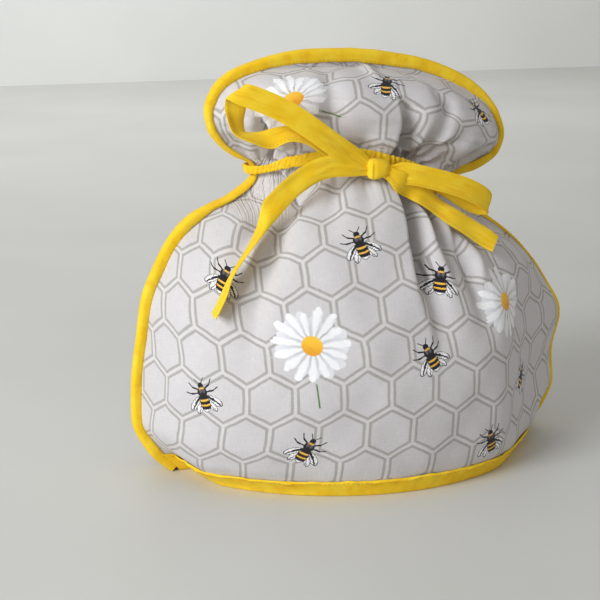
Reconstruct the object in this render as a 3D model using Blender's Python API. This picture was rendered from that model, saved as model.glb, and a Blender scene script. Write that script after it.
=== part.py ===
"""Tea cosy with a tied neck: two padded panels bound together, with a frill above the tie.

Sizes in the tables are millimetres. The front faces -Y, +X is the viewer's right, +Z is up, and the
origin is on the surface under the middle of the hem.

Every cloth point is first placed on an upright, even cosy by seam height and thread length. settle()
then gives it the lean and the waves of the real one, so that neighbouring pieces stay clear.
"""

import bpy
import numpy as np

MM = 0.001

# Cloth and trim.
PADDING = 4.5  # thickness of a quilted panel
SEAM_CLOTH = 2.0  # its thickness where it is pressed in the seam
HEM_CLOTH = 3.2  # and inside the hem binding
TAPE = 1.0  # thickness of the folded binding
GAP = 0.3  # air between neighbouring pieces
LOOSE = 0.65  # and where a binding lies over waved cloth
BOUND = 7.4  # reach of the binding over the panels, from their edge
HEM_BOUND = 11.0  # height of the binding on the hem
LIFT = 1.6  # the panels' lower edge above the surface
TRIM = 1.5  # the binding stands this far outside the panels' edge
SOFTEN = 4.5  # how softly a panel leaves the seam
FLAT_SEAM = 10.4  # width of the flat strip of both panels inside the binding
SEAM_ROOT = 15.0  # distance from the edge to where a panel has left the seam
SEAM_PART = 0.2  # half the space between the panels in the seam
HEM_PART = 2.2  # and at the hem, where both hem bindings turn inside
BAND_WIDTH = 7.0  # the ruched band round the neck
BAND_THICK = 1.6
TIE_THICK = 1.2  # the folded tape of the tie
FRONT_COLUMNS = 42
BACK_COLUMNS = 28

# Half of the even cosy by seam height: half width at the bound edge, half depth, and how much higher
# the middle of a row lies than its ends. A depth below 0 closes the row.
PROFILE_COLUMNS = ("name", "z", "tip", "depth", "arch")
PROFILE = (
    ("hem", 0, 121, 76, 0),
    ("tuck", 12, 133, 81, 0),
    ("belly", 34, 142.5, 88, 0),
    ("waist", 58, 142, 90, 0),
    ("chest", 78, 140, 88, 0),
    ("upper", 102, 134.5, 82, 1),
    ("shoulder", 127, 120.5, 70, 4),
    ("slope", 142, 107.5, 59, 6),
    ("collar", 151, 95, 50, 8),
    ("throat", 161, 79, 39, 10),
    ("neck", 170, 67, 31, 12),
    ("tied", 178, 68, 30, 12),
    ("lip", 186, 84, 32, 10),
    ("frill", 196, 95, 34, 7),
    ("widest", 206, 97.5, 34, 4),
    ("brow", 219, 93, 30, 2),
    ("crest", 229, 84, 20.5, 0),
    ("closing", 233.5, 77, 11, 0),
    ("crown", 237, 70, -16, 0),
    ("arc", 242.5, 55, -28, 0),
    ("rise", 246.5, 37, -32, 0),
    ("top", 249, 9, -34, 0),
)
TOP = 249.0
WIDEST = 206.0  # seam height where the frill is widest
NECK = 174.0  # seam height where the band draws the cloth in
CENTRE = -1.15  # brings the settled cosy back over the origin

# Seam heights of the rows of points, closest at the neck and where the top closes.
ROWS = (
    LIFT, 11.5, 20, 30, 42, 54, 64, 73, 81, 89, 98, 108, 119, 130, 139, 147, 154, 160, 165, 170, 174,
    178, 182, 186, 191, 197, 204, 212, 220, 227, 233, 239, 242, 245, 247, 248.3, TOP,
)

# Lean of the real cosy by height: shift to the right, and fall per unit of width.
LEAN_COLUMNS = ("z", "shift", "fall")
LEAN = (
    (0, 1, 0),
    (80, 1, 0),
    (110, -1.2, 0.03),
    (143, -1.5, 0.085),
    (165, 1, 0.115),
    (181, 2, 0.145),
    (200, 3.8, 0.12),
    (228, 4.5, 0.108),
    (240, 5, 0.09),
    (250, 5, 0.085),
)

# Waves of the bound side seams: side, height, reach, sway to the back, swell outwards.
WAVE_COLUMNS = ("side", "z", "reach", "sway", "swell")
WAVES = (
    (1, 81, 19, -6.5, 2.5),
    (1, 50, 16, 2.5, 0),
    (1, 120, 18, -2.5, 0),
    (1, 27, 14, -2.0, 0),
    (-1, 95, 22, -2.5, 0),
    (-1, 45, 16, 2, 0),
    (-1, 135, 12, 1.5, 0),
)

# Folds drawn in by the band: where each starts below, crosses the neck and ends above (place across
# the panel from -1 to 1, and seam height), its depth, its half width at the three, and its lean.
FOLD_COLUMNS = (
    "name", "low", "low_z", "neck", "high", "high_z", "depth", "low_width", "neck_width", "high_width", "skew",
)
FRONT_FOLDS = (
    ("far_left", -0.80, 118, -0.87, -0.84, 203, 5.0, 9, 3.6, 7, 0.0),
    ("left_tuck", -0.62, 112, -0.62, -0.64, 214, 9.0, 8, 3.6, 7, 0.35),
    ("left_soft", -0.47, 78, -0.46, -0.44, 218, 6.0, 15, 4.4, 10, 0.0),
    ("mid_left", -0.27, 132, -0.29, -0.29, 226, 5.0, 10, 4.2, 11, 0.0),
    ("centre", -0.09, 138, -0.11, -0.07, 214, 4.0, 9, 4.0, 9, 0.0),
    ("deep_valley", 0.10, 58, 0.10, 0.20, 230, 13.0, 9, 5.0, 11, 0.6),
    ("right_valley", 0.31, 76, 0.26, 0.41, 228, 9.5, 11, 4.6, 10, 0.3),
    ("outer_valley", 0.47, 92, 0.42, 0.56, 221, 7.5, 12, 4.4, 10, 0.0),
    ("right_soft", 0.63, 104, 0.59, 0.70, 216, 6.5, 12, 4.2, 9, 0.0),
    ("far_right", 0.80, 122, 0.78, 0.85, 206, 5.0, 9, 3.8, 7, 0.0),
)
BACK_FOLDS = (
    ("far_left", -0.78, 110, -0.80, -0.82, 205, 5.0, 10, 4.2, 8, 0.0),
    ("left", -0.58, 92, -0.60, -0.62, 215, 8.0, 12, 4.4, 9, 0.2),
    ("left_soft", -0.36, 70, -0.38, -0.36, 222, 7.0, 14, 4.6, 11, 0.0),
    ("middle", -0.14, 100, -0.15, -0.18, 226, 10.0, 11, 4.8, 11, -0.3),
    ("mid_right", 0.10, 84, 0.08, 0.05, 218, 6.0, 13, 4.4, 10, 0.0),
    ("right", 0.34, 62, 0.31, 0.30, 226, 10.5, 12, 4.8, 11, 0.3),
    ("right_soft", 0.56, 96, 0.55, 0.58, 216, 6.5, 12, 4.4, 9, 0.0),
    ("far_right", 0.79, 116, 0.78, 0.80, 206, 5.0, 10, 4.2, 8, 0.0),
)

# The tape of the tie, from the knot: its two edges at each station, already settled.
TIE_COLUMNS = ("run", "upper_x", "upper_y", "upper_z", "lower_x", "lower_y", "lower_z")
TIE = (
    ("left_loop", -8.0, -46.0, 189.3, -12.9, -46.0, 183.7),
    ("left_loop", -13.0, -47.0, 195.0, -23.6, -47.0, 187.5),
    ("left_loop", -28.7, -49.0, 205.9, -37.1, -49.0, 196.0),
    ("left_loop", -43.3, -49.5, 216.5, -51.3, -49.5, 206.3),
    ("left_loop", -56.5, -48.5, 225.3, -62.9, -48.5, 213.9),
    ("left_loop", -69.4, -47.0, 231.7, -74.8, -47.0, 219.8),
    ("left_loop", -78.7, -45.5, 235.3, -84.2, -45.5, 223.5),
    ("left_loop", -81.3, -44.5, 236.0, -90.1, -44.5, 226.0),
    ("left_loop", -81.9, -42.6, 236.0, -94.1, -42.6, 228.4),
    ("left_loop", -81.3, -40.8, 230.8, -94.0, -40.8, 226.6),
    ("left_loop", -81.3, -39.8, 223.6, -94.3, -39.8, 222.9),
    ("left_loop", -82.4, -37.0, 215.0, -93.7, -43.0, 217.1),
    ("left_loop", -81.1, -37.5, 208.2, -91.3, -45.5, 209.1),
    ("left_loop", -74.2, -37.9, 208.4, -80.7, -48.1, 204.0),
    ("left_loop", -67.9, -40.3, 210.1, -69.2, -47.7, 199.5),
    ("left_loop", -57.4, -39.2, 211.4, -59.8, -49.8, 204.2),
    ("left_loop", -44.8, -39.4, 208.6, -50.3, -49.6, 202.6),
    ("left_loop", -31.6, -40.0, 200.5, -38.7, -49.0, 194.5),
    ("left_loop", -19.8, -44.5, 193.1, -23.4, -44.5, 187.6),
    ("left_loop", -8.6, -44.5, 188.5, -12.2, -44.5, 183.5),
    ("right_loop", -2.1, -47.0, 188.5, -2.0, -47.0, 182.1),
    ("right_loop", 3.5, -48.5, 187.3, 3.7, -48.5, 178.8),
    ("right_loop", 9.5, -49.0, 189.0, 9.8, -49.0, 176.0),
    ("right_loop", 18.8, -51.0, 187.3, 19.1, -51.0, 174.3),
    ("right_loop", 28.8, -51.5, 184.7, 29.1, -51.5, 171.7),
    ("right_loop", 39.2, -51.5, 181.8, 38.9, -51.5, 168.8),
    ("right_loop", 49.9, -51.0, 178.2, 48.2, -51.0, 165.3),
    ("right_loop", 60.0, -49.5, 173.6, 57.0, -49.5, 160.9),
    ("right_loop", 66.6, -47.3, 169.3, 64.8, -47.3, 156.4),
    ("right_loop", 69.8, -44.8, 166.2, 68.6, -44.8, 153.3),
    ("right_loop", 68.1, -42.4, 165.2, 64.6, -42.4, 152.7),
    ("right_loop", 56.4, -41.2, 168.7, 52.7, -41.2, 156.3),
    ("right_loop", 44.9, -41.0, 173.7, 39.7, -41.0, 161.8),
    ("right_loop", 34.3, -41.5, 178.1, 28.1, -41.5, 166.6),
    ("right_loop", 21.8, -43.0, 182.2, 16.5, -43.0, 170.3),
    ("right_loop", 7.6, -45.0, 183.6, 5.8, -45.0, 177.3),
    ("right_loop", -0.0, -45.0, 187.6, -1.2, -45.0, 181.8),
    ("right_tail", 0.4, -47.0, 188.4, -4.5, -47.0, 181.7),
    ("right_tail", 4.4, -49.3, 185.6, 0.8, -49.3, 178.5),
    ("right_tail", 11.8, -50.0, 183.3, 5.3, -50.0, 172.0),
    ("right_tail", 21.2, -45.5, 178.1, 14.0, -45.5, 167.3),
    ("right_tail", 28.7, -44.4, 172.2, 19.9, -49.5, 164.1),
    ("right_tail", 38.9, -42.4, 163.2, 30.0, -49.7, 157.3),
    ("right_tail", 47.6, -47.5, 157.9, 38.5, -53.5, 150.7),
    ("right_tail", 58.0, -47.5, 150.7, 49.0, -54.3, 144.3),
    ("right_tail", 67.3, -49.9, 145.4, 58.9, -55.1, 137.1),
    ("right_tail", 72.9, -50.4, 141.1, 65.3, -57.8, 133.5),
    ("left_tail", -8.0, -46.0, 189.3, -7.9, -46.0, 181.7),
    ("left_tail", -13.3, -46.8, 192.3, -13.2, -46.8, 181.8),
    ("left_tail", -21.8, -48.0, 194.9, -21.7, -48.0, 181.9),
    ("left_tail", -32.4, -48.5, 195.2, -31.0, -48.5, 182.3),
    ("left_tail", -43.1, -48.5, 193.3, -38.9, -48.5, 181.0),
    ("left_tail", -53.2, -48.0, 188.4, -47.7, -48.0, 176.6),
    ("left_tail", -62.9, -47.5, 181.6, -55.3, -47.5, 171.1),
    ("left_tail", -69.7, -47.0, 174.9, -61.9, -47.0, 164.5),
    ("left_tail", -74.6, -46.0, 169.4, -66.3, -46.0, 159.3),
    ("left_tail", -75.8, -42.0, 157.3, -76.4, -54.1, 152.8),
    ("left_tail", -84.9, -47.9, 143.9, -85.7, -60.6, 146.7),
    ("left_tail", -92.8, -49.9, 133.7, -93.2, -62.0, 138.5),
    ("left_tail", -97.2, -50.6, 127.2, -98.4, -63.1, 130.6),
    ("left_tail", -101.7, -51.4, 119.1, -100.6, -63.7, 123.0),
    ("left_tail", -106.9, -51.6, 109.9, -108.0, -64.5, 109.4),
)
KNOT = (-4.4, -46.9, 185.5)  # centre
KNOT_HALF = (6.9, 4.2, 7.2)  # half its width, depth and height


def column(table, names, name):
    """One column of a table, by its name."""
    place = names.index(name)
    return np.array([line[place] for line in table], float)


def through(xs, ys, x):
    """Smooth curve through points, with no swing past them (monotone cubic)."""
    xs = np.asarray(xs, float)
    ys = np.asarray(ys, float)
    run = np.diff(xs)
    rise = np.diff(ys) / run
    tangent = np.zeros_like(ys)
    tangent[0], tangent[-1] = rise[0], rise[-1]
    before, after = 2 * run[1:] + run[:-1], run[1:] + 2 * run[:-1]
    same = rise[:-1] * rise[1:] > 0
    inner = np.zeros(len(rise) - 1)
    inner[same] = (before + after)[same] / (before[same] / rise[:-1][same] + after[same] / rise[1:][same])
    tangent[1:-1] = inner
    x = np.clip(x, xs[0], xs[-1])
    i = np.clip(np.searchsorted(xs, x) - 1, 0, len(run) - 1)
    t = (x - xs[i]) / run[i]
    start = (2 * t**3 - 3 * t**2 + 1) * ys[i] + (t**3 - 2 * t**2 + t) * run[i] * tangent[i]
    end = (3 * t**2 - 2 * t**3) * ys[i + 1] + (t**3 - t**2) * run[i] * tangent[i + 1]
    return start + end


def profile(name, z):
    return through(column(PROFILE, PROFILE_COLUMNS, "z"), column(PROFILE, PROFILE_COLUMNS, name), z)


def ease(start, end, x):
    """0 at start, 1 at end, smooth between."""
    t = np.clip((x - start) / (end - start), 0, 1)
    return t * t * (3 - 2 * t)


def swell(centre, reach, x):
    return np.exp(-(((x - centre) / reach) ** 2))


def outline():
    """Half width and seam height along the bound edge, from below the hem to the top, and its outward normal."""
    heights = np.concatenate([np.linspace(0, 235, 300), np.linspace(235.3, TOP, 80)])
    edge = np.stack([profile("tip", heights), heights], -1)
    foot = edge[0] + np.linspace(-16, -1, 16)[:, None] * (edge[1] - edge[0]) / (heights[1] - heights[0])
    edge = np.concatenate([foot, edge])
    along = np.gradient(edge, axis=0)
    normal = np.stack([along[:, 1], -along[:, 0]], -1)
    return edge, normal / np.linalg.norm(normal, axis=-1, keepdims=True)


def inset(z, distance):
    """Half width at seam height z of the bound edge moved in by a distance, 0 above its top."""
    edge, normal = outline()
    inner = edge - distance * normal
    return np.interp(z, inner[:, 1], inner[:, 0], right=0.0)


def ratio(z):
    """Depth to width of a row."""
    low = np.minimum(z, WIDEST)
    return profile("depth", low) / inset(low, SEAM_ROOT)


def seam_distance(x, z):
    """Distance from the bound edge to points of one row."""
    edge, _ = outline()
    return np.hypot(edge[:, 0] - np.abs(x)[:, None], edge[:, 1] - z).min(axis=1)


def depth_at(x, z):
    """How far the cloth's inner face stands off the seam plane at x on the row of seam height z."""

    def inside(x, z):
        depth = profile("depth", z)
        return depth * np.abs(depth) - (ratio(z) * x) ** 2

    slope = np.hypot(inside(x + 0.5, z) - inside(x - 0.5, z), inside(x, z + 0.5) - inside(x, z - 0.5))
    round_off = np.sqrt(np.maximum(inside(x, z) + SOFTEN * slope, 0) + 1e-9)
    return round_off * ease(FLAT_SEAM, FLAT_SEAM + 2 * SOFTEN, seam_distance(x, z))


def row(z, places):
    """x, depth and thread length at the places (-1 to 1) of one row, with the two edges added."""
    edge = float(profile("tip", z)) - TRIM
    x = edge * np.sin(np.linspace(0, np.pi / 2, 500))
    depth = depth_at(x, z)
    thread = np.concatenate([[0], np.cumsum(np.hypot(np.diff(x), np.diff(depth)))])
    inner = np.interp(max(float(inset(z, FLAT_SEAM)), edge / 2), x, thread)
    along = np.concatenate([[-thread[-1]], np.asarray(places) * inner, [thread[-1]]])
    return np.sign(along) * np.interp(np.abs(along), thread, x), np.interp(np.abs(along), thread, depth), along


def parting(z):
    """Half the space between the two panels in the seam."""
    return SEAM_PART + (HEM_PART - SEAM_PART) * ease(26, 12, z)


def arch(x, z):
    """Rise of a row's middle over its ends."""
    across = np.clip(np.abs(x) / np.maximum(inset(z, FLAT_SEAM), 1), 0, 1)
    return profile("arch", z) * (1 - across**2) ** 1.5


def fold_depth(folds, along, z):
    """How far the folds draw the cloth in, for thread positions (rows by columns) at heights z."""
    heights = np.asarray(z)[:, None]
    half = along[:, -1:]
    depth = np.zeros_like(along)
    for line in folds:
        fold = dict(zip(FOLD_COLUMNS, line))
        ends = (fold["low_z"], NECK, fold["high_z"])
        place = through(ends, (fold["low"], fold["neck"], fold["high"]), heights)
        width = through(ends, (fold["low_width"], fold["neck_width"], fold["high_width"]), heights)
        strength = ease(fold["low_z"], NECK + 4, heights) * ease(fold["high_z"], NECK - 2, heights)
        off = along - place * half
        width = width * np.where(off < 0, 1 - fold["skew"], 1 + fold["skew"])
        depth += fold["depth"] * strength * np.exp(-((off / width) ** 2))
    return depth * ease(0, 14, half - np.abs(along))


def surfaces(side, folds, heights, places):
    """Inner and outer face (rows by columns by xyz) of one panel on the even cosy. side is -1 in front."""
    lines = [row(z, places) for z in heights]
    x = np.array([line[0] for line in lines])
    depth = np.array([line[1] for line in lines])
    along = np.array([line[2] for line in lines])
    z = np.repeat(np.asarray(heights, float)[:, None], x.shape[1], axis=1)
    middle = np.stack([x, side * (depth + parting(z)), z + arch(x, z)], -1)
    outward = side * np.cross(np.gradient(middle, axis=0), np.gradient(middle, axis=1))
    outward[..., 2] *= ease(0, 20, z)
    outward[:, [0, -1]] = (0, side, 0)
    outward[:, [1, -2]] = (0, side, 0)
    outward /= np.linalg.norm(outward, axis=-1, keepdims=True)
    full = HEM_CLOTH + (PADDING - HEM_CLOTH) * ease(12, 24, z)
    thick = SEAM_CLOTH + (full - SEAM_CLOTH) * ease(0, 6, depth)
    drawn = fold_depth(folds, along, heights) * (1 - np.exp(-((depth / 13) ** 2)))
    inner = middle - outward * drawn[..., None]
    return inner, inner + outward * thick[..., None], outward


def settle(points):
    """Moves points of the even cosy to where they lie on the real one."""
    x, y, z = points[..., 0], points[..., 1], points[..., 2]
    levels = column(LEAN, LEAN_COLUMNS, "z")
    shift = through(levels, column(LEAN, LEAN_COLUMNS, "shift"), z)
    fall = through(levels, column(LEAN, LEAN_COLUMNS, "fall"), z)
    near_edge = ease(-36, -16, np.abs(x) - profile("tip", np.clip(z, 0, TOP)))
    drawn_back = 8 * swell(NECK, 16, z) * ease(34, 54, np.abs(x))
    tucked = 5 * ease(20, -90, x) * ease(70, 0, z) * ease(-10, -60, y)
    sway = np.zeros_like(x)
    out = np.zeros_like(x)
    for line in WAVES:
        wave = dict(zip(WAVE_COLUMNS, line))
        here = near_edge * swell(wave["z"], wave["reach"], z) * (np.sign(x) == wave["side"])
        sway = sway + wave["sway"] * here
        out = out + wave["side"] * wave["swell"] * here
    proud = np.maximum(-y - 8, 0)
    pressed = proud**2 / (proud + 8) * ease(62, 126, x) * ease(132, 92, z) * (0.5 + 0.5 * ease(8, 34, z))
    shift = shift - 0.1 * pressed
    return np.stack([x + shift + out + CENTRE, y + drawn_back + tucked + sway + 0.62 * pressed, z - fall * x], -1)


def facing_out(vertices, faces):
    """The faces of a closed body, turned so that they point outwards."""
    volume = 0.0
    for face in faces:
        for k in range(1, len(face) - 1):
            a, b, c = vertices[face[0]], vertices[face[k]], vertices[face[k + 1]]
            volume += np.dot(a, np.cross(b, c))
    return faces if volume > 0 else [face[::-1] for face in faces]


def finish(name, vertices, faces, colour, roughness):
    """A mesh object in metres with its own cloth material."""
    mesh = bpy.data.meshes.new(name)
    mesh.from_pydata((np.asarray(vertices) * MM).tolist(), [], facing_out(np.asarray(vertices), faces))
    obj = bpy.data.objects.new(name, mesh)
    bpy.context.scene.collection.objects.link(obj)
    material = bpy.data.materials.new(name + "_cloth")
    material.use_nodes = True
    shader = material.node_tree.nodes["Principled BSDF"]
    shader.inputs["Base Color"].default_value = colour
    shader.inputs["Roughness"].default_value = roughness
    shader.inputs["Metallic"].default_value = 0.0
    mesh.materials.append(material)
    mesh.shade_smooth()
    mesh.set_sharp_from_angle(angle=np.radians(50))
    return obj


def slab_faces(rows, columns):
    """Faces of a closed slab: an outer grid of points, then an inner grid, and the rim between them."""

    def outer(i, j):
        return i * columns + j

    def inner(i, j):
        return rows * columns + i * columns + j

    faces = []
    for i in range(rows - 1):
        for j in range(columns - 1):
            faces.append((outer(i, j), outer(i, j + 1), outer(i + 1, j + 1)))
            faces.append((outer(i, j), outer(i + 1, j + 1), outer(i + 1, j)))
            faces.append((inner(i, j), inner(i + 1, j + 1), inner(i, j + 1)))
            faces.append((inner(i, j), inner(i + 1, j), inner(i + 1, j + 1)))
    for j in range(columns - 1):
        last = rows - 1
        faces.append((outer(0, j + 1), outer(0, j), inner(0, j), inner(0, j + 1)))
        faces.append((outer(last, j), outer(last, j + 1), inner(last, j + 1), inner(last, j)))
    for i in range(rows - 1):
        last = columns - 1
        faces.append((outer(i, 0), outer(i + 1, 0), inner(i + 1, 0), inner(i, 0)))
        faces.append((outer(i + 1, last), outer(i, last), inner(i, last), inner(i + 1, last)))
    return faces


def tube_faces(stations, corners, closed, rising=()):
    """Faces of a swept section: a ring if closed, or else a length with a cap on each end.

    rising lists the corners whose side is split by the other diagonal.
    """
    faces = []
    for i in range(stations if closed else stations - 1):
        a, b = i * corners, (i + 1) % stations * corners
        for k in range(corners):
            n = (k + 1) % corners
            if k in rising:
                faces += [(a + k, a + n, b + n), (a + k, b + n, b + k)]
            else:
                faces += [(a + k, a + n, b + k), (a + n, b + n, b + k)]
    if not closed:
        faces.append(tuple(range(corners))[::-1])
        faces.append(tuple((stations - 1) * corners + k for k in range(corners)))
    return faces


CLOTH_GREY = (0.61, 0.57, 0.55, 1.0)
YELLOW = (0.84, 0.53, 0.03, 1.0)


def make_panel(name, side, folds, columns):
    """One quilted panel, hem to top."""
    places = np.linspace(-1, 1, columns)
    inner, outer, _ = surfaces(side, folds, ROWS, places)
    rows, across = outer.shape[:2]
    vertices = np.concatenate([settle(outer).reshape(-1, 3), settle(inner).reshape(-1, 3)])
    return finish(name, vertices, slab_faces(rows, across), CLOTH_GREY, 0.9)


def seam_outline():
    """The panels' edge on the even cosy from the left foot over the top to the right foot."""
    heights = np.array((GAP,) + ROWS[1:])
    x = profile("tip", heights) - TRIM
    left = np.stack([-x, heights], -1)
    right = np.stack([x, heights], -1)[::-1]
    return np.concatenate([left, right])


def make_edge_binding():
    """Yellow tape folded over both panels' edges, down to the surface on each side."""
    edge = seam_outline()
    along = np.gradient(edge, axis=0)
    along /= np.linalg.norm(along, axis=-1, keepdims=True)
    inward = np.stack([along[:, 1], -along[:, 0]], -1)
    vertices = []
    for (x, z), (to_x, to_z) in zip(edge, inward):
        bed = float(parting(z)) + SEAM_CLOTH + LOOSE
        face = bed + TAPE
        section = (
            (BOUND, -face), (-0.5, -face), (-TRIM, -face + 0.9), (-TRIM, face - 0.9), (-0.5, face),
            (BOUND, face), (BOUND, bed), (-GAP, bed), (-GAP, -bed), (BOUND, -bed),
        )
        vertices += [(x + u * to_x, y, z + u * to_z) for u, y in section]
    vertices = settle(np.array(vertices))
    vertices[:, 2] = np.maximum(vertices[:, 2], 0.0)
    return finish("edge_binding", vertices, tube_faces(len(edge), 10, closed=False), YELLOW, 0.8)


def make_hem_binding(name, side, folds, columns):
    """Yellow tape folded over one panel's lower edge, flat where it stands."""
    places = np.linspace(-1, 1, columns)
    inner, outer, outward = surfaces(side, folds, ROWS[:3], places)
    keep = slice(1, -1)
    up = (HEM_BOUND - ROWS[0]) / (ROWS[1] - ROWS[0])
    foot_out, foot_in, away = outer[0, keep], inner[0, keep], outward[0, keep]
    head_out = outer[0, keep] * (1 - up) + outer[1, keep] * up
    head_in = inner[0, keep] * (1 - up) + inner[1, keep] * up

    def at(points, offset, height=None):
        moved = points + away * offset
        if height is not None:
            moved[:, 2] = height
        return moved

    face = LOOSE + TAPE
    section = np.stack(
        [
            at(head_out, face), at(foot_out, face), at(foot_out, face - 0.5, 0.0), at(foot_in, 0.2 - face, 0.0),
            at(foot_in, -face - 0.3), at(head_in, -face), at(head_in, -LOOSE), at(foot_in, -LOOSE - 0.5, LIFT - LOOSE),
            at(foot_out, LOOSE, LIFT - LOOSE), at(head_out, LOOSE),
        ],
        axis=1,
    )
    stations, corners = section.shape[:2]
    faces = tube_faces(stations, corners, closed=False, rising=(4, 8))
    vertices = settle(section.reshape(-1, 3))
    return finish(name, vertices, faces, YELLOW, 0.8)


def convex_outline(points):
    """Convex outline of points in the XY plane, anticlockwise."""
    ordered = sorted(map(tuple, points))

    def half(sequence):
        chain = []
        for point in sequence:
            while len(chain) > 1:
                (ax, ay), (bx, by) = chain[-2], chain[-1]
                if (bx - ax) * (point[1] - ay) - (by - ay) * (point[0] - ax) > 0:
                    break
                chain.pop()
            chain.append(point)
        return chain[:-1]

    return np.array(half(ordered) + half(ordered[::-1]))


def neck_path(stations):
    """Where a tape drawn round the neck lies: the outline of the gathered cloth, bridging its hollows."""
    around = []
    heights = np.linspace(NECK - 3.5, NECK + 7.5, 7)
    for side, folds in ((-1, FRONT_FOLDS), (1, BACK_FOLDS)):
        outer = surfaces(side, folds, heights, np.linspace(-1, 1, 60))[1]
        around.append(outer[..., :2].reshape(-1, 2))
    tip = float(profile("tip", heights).max())
    face = SEAM_PART + SEAM_CLOTH + GAP + TAPE
    around.append(np.array([(sx * tip, sy * face) for sx in (-1, 1) for sy in (-1, 1)]))
    corner = convex_outline(np.concatenate(around))
    corner = np.concatenate([corner, corner[:1]])
    length = np.concatenate([[0], np.cumsum(np.linalg.norm(np.diff(corner, axis=0), axis=1))])
    want = np.linspace(0, length[-1], stations, endpoint=False)
    path = np.stack([np.interp(want, length, corner[:, k]) for k in (0, 1)], -1)
    for _ in range(2):
        path = (np.roll(path, 1, 0) + 2 * path + np.roll(path, -1, 0)) / 4
    along = np.roll(path, -1, 0) - np.roll(path, 1, 0)
    outward = np.stack([along[:, 1], -along[:, 0]], -1)
    return path, outward / np.linalg.norm(outward, axis=-1, keepdims=True)


BAND_SEAM_Z = NECK + 2.0
BAND_CLEAR = 1.2


def make_neck_band():
    """Ruched yellow band that draws the neck in."""
    path, outward = neck_path(60)
    height = BAND_SEAM_Z + arch(path[:, 0], np.full(len(path), BAND_SEAM_Z))
    half = BAND_WIDTH / 2
    vertices = []
    for (x, y), (to_x, to_y), z in zip(path, outward, height):
        inner, crown = BAND_CLEAR, BAND_CLEAR + BAND_THICK
        section = ((inner, -half), (crown - 0.5, -half), (crown, 0), (crown - 0.5, half), (inner, half))
        vertices += [(x + r * to_x, y + r * to_y, z + v) for r, v in section]
    return finish("neck_band", settle(np.array(vertices)), tube_faces(len(path), 5, closed=True), YELLOW, 0.8)


def tape_body(run):
    """Vertices and faces of one run of the tie's tape."""
    lines = [line[1:] for line in TIE if line[0] == run]
    edges = np.array(lines, float).reshape(-1, 2, 3)
    middle = edges.mean(axis=1)
    length = np.concatenate([[0], np.cumsum(np.linalg.norm(np.diff(middle, axis=0), axis=1))])
    stops = np.unique(np.concatenate([length, (length[1:] + length[:-1]) / 2]))
    fine = np.array([[through(length, edges[:, e, k], stops) for k in range(3)] for e in range(2)])
    upper, lower = fine[0].T, fine[1].T
    along = np.gradient((upper + lower) / 2, axis=0)
    across = upper - lower
    away = np.cross(along, across)
    away *= TIE_THICK / 2 / np.linalg.norm(away, axis=-1, keepdims=True)
    section = np.stack([upper + away, lower + away, lower - away, upper - away], axis=1)
    return section.reshape(-1, 3), tube_faces(len(stops), 4, closed=False)


def knot_body():
    """Vertices and faces of the knot, a block with soft corners."""
    rings, around = 10, 20
    angle = np.linspace(0, 2 * np.pi, around, endpoint=False)
    tilt = np.linspace(-np.pi / 2, np.pi / 2, rings + 1)[1:-1]

    def soft(value, power):
        return np.sign(value) * np.abs(value) ** power

    vertices = [(0, 0, -1.0)]
    for t in tilt:
        level = soft(np.cos(t), 0.55)
        vertices += [(level * soft(np.cos(a), 0.6), level * soft(np.sin(a), 0.6), soft(np.sin(t), 0.55)) for a in angle]
    vertices.append((0, 0, 1.0))
    top = len(vertices) - 1
    faces = [(0, 1 + (j + 1) % around, 1 + j) for j in range(around)]
    for i in range(len(tilt) - 1):
        a, b = 1 + i * around, 1 + (i + 1) * around
        for j in range(around):
            n = (j + 1) % around
            faces.append((a + j, a + n, b + n, b + j))
    last = 1 + (len(tilt) - 1) * around
    faces += [(last + j, last + (j + 1) % around, top) for j in range(around)]
    return np.array(vertices) * KNOT_HALF + KNOT, faces


def make_tie():
    """Knot, two loops and two tails of one tape, as one body."""
    whole = finish("tie", *knot_body(), YELLOW, 0.8)
    runs = []
    for run in ("left_loop", "right_loop", "right_tail", "left_tail"):
        other = finish(run, *tape_body(run), YELLOW, 0.8)
        runs.append(other)
        union = whole.modifiers.new(run, "BOOLEAN")
        union.operation = "UNION"
        union.solver = "EXACT"
        union.object = other
        bpy.context.view_layer.update()
        graph = bpy.context.evaluated_depsgraph_get()
        joined = bpy.data.meshes.new_from_object(whole.evaluated_get(graph))
        whole.modifiers.clear()
        whole.data = joined
    for other in runs:
        bpy.data.objects.remove(other)
    material = whole.data.materials[0]
    whole.data.materials.clear()
    whole.data.materials.append(material)
    whole.data.polygons.foreach_set("material_index", [0] * len(whole.data.polygons))
    return whole


def build():
    for obj in list(bpy.data.objects):
        bpy.data.objects.remove(obj)
    make_panel("front_panel", -1, FRONT_FOLDS, FRONT_COLUMNS)
    make_panel("back_panel", 1, BACK_FOLDS, BACK_COLUMNS)
    make_edge_binding()
    make_hem_binding("hem_binding_front", -1, FRONT_FOLDS, FRONT_COLUMNS)
    make_hem_binding("hem_binding_back", 1, BACK_FOLDS, BACK_COLUMNS)
    make_neck_band()
    make_tie()


build()
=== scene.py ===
"""Looks of the tea cosy: printed cotton panels, yellow binding, ruched band, bow and stitches.

The tables and shape functions are the construction's own, so each piece lies on its solid. Table sizes are
millimetres, on an even cosy that settle() leans and waves. Every other length is in metres.
"""

import math

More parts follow.
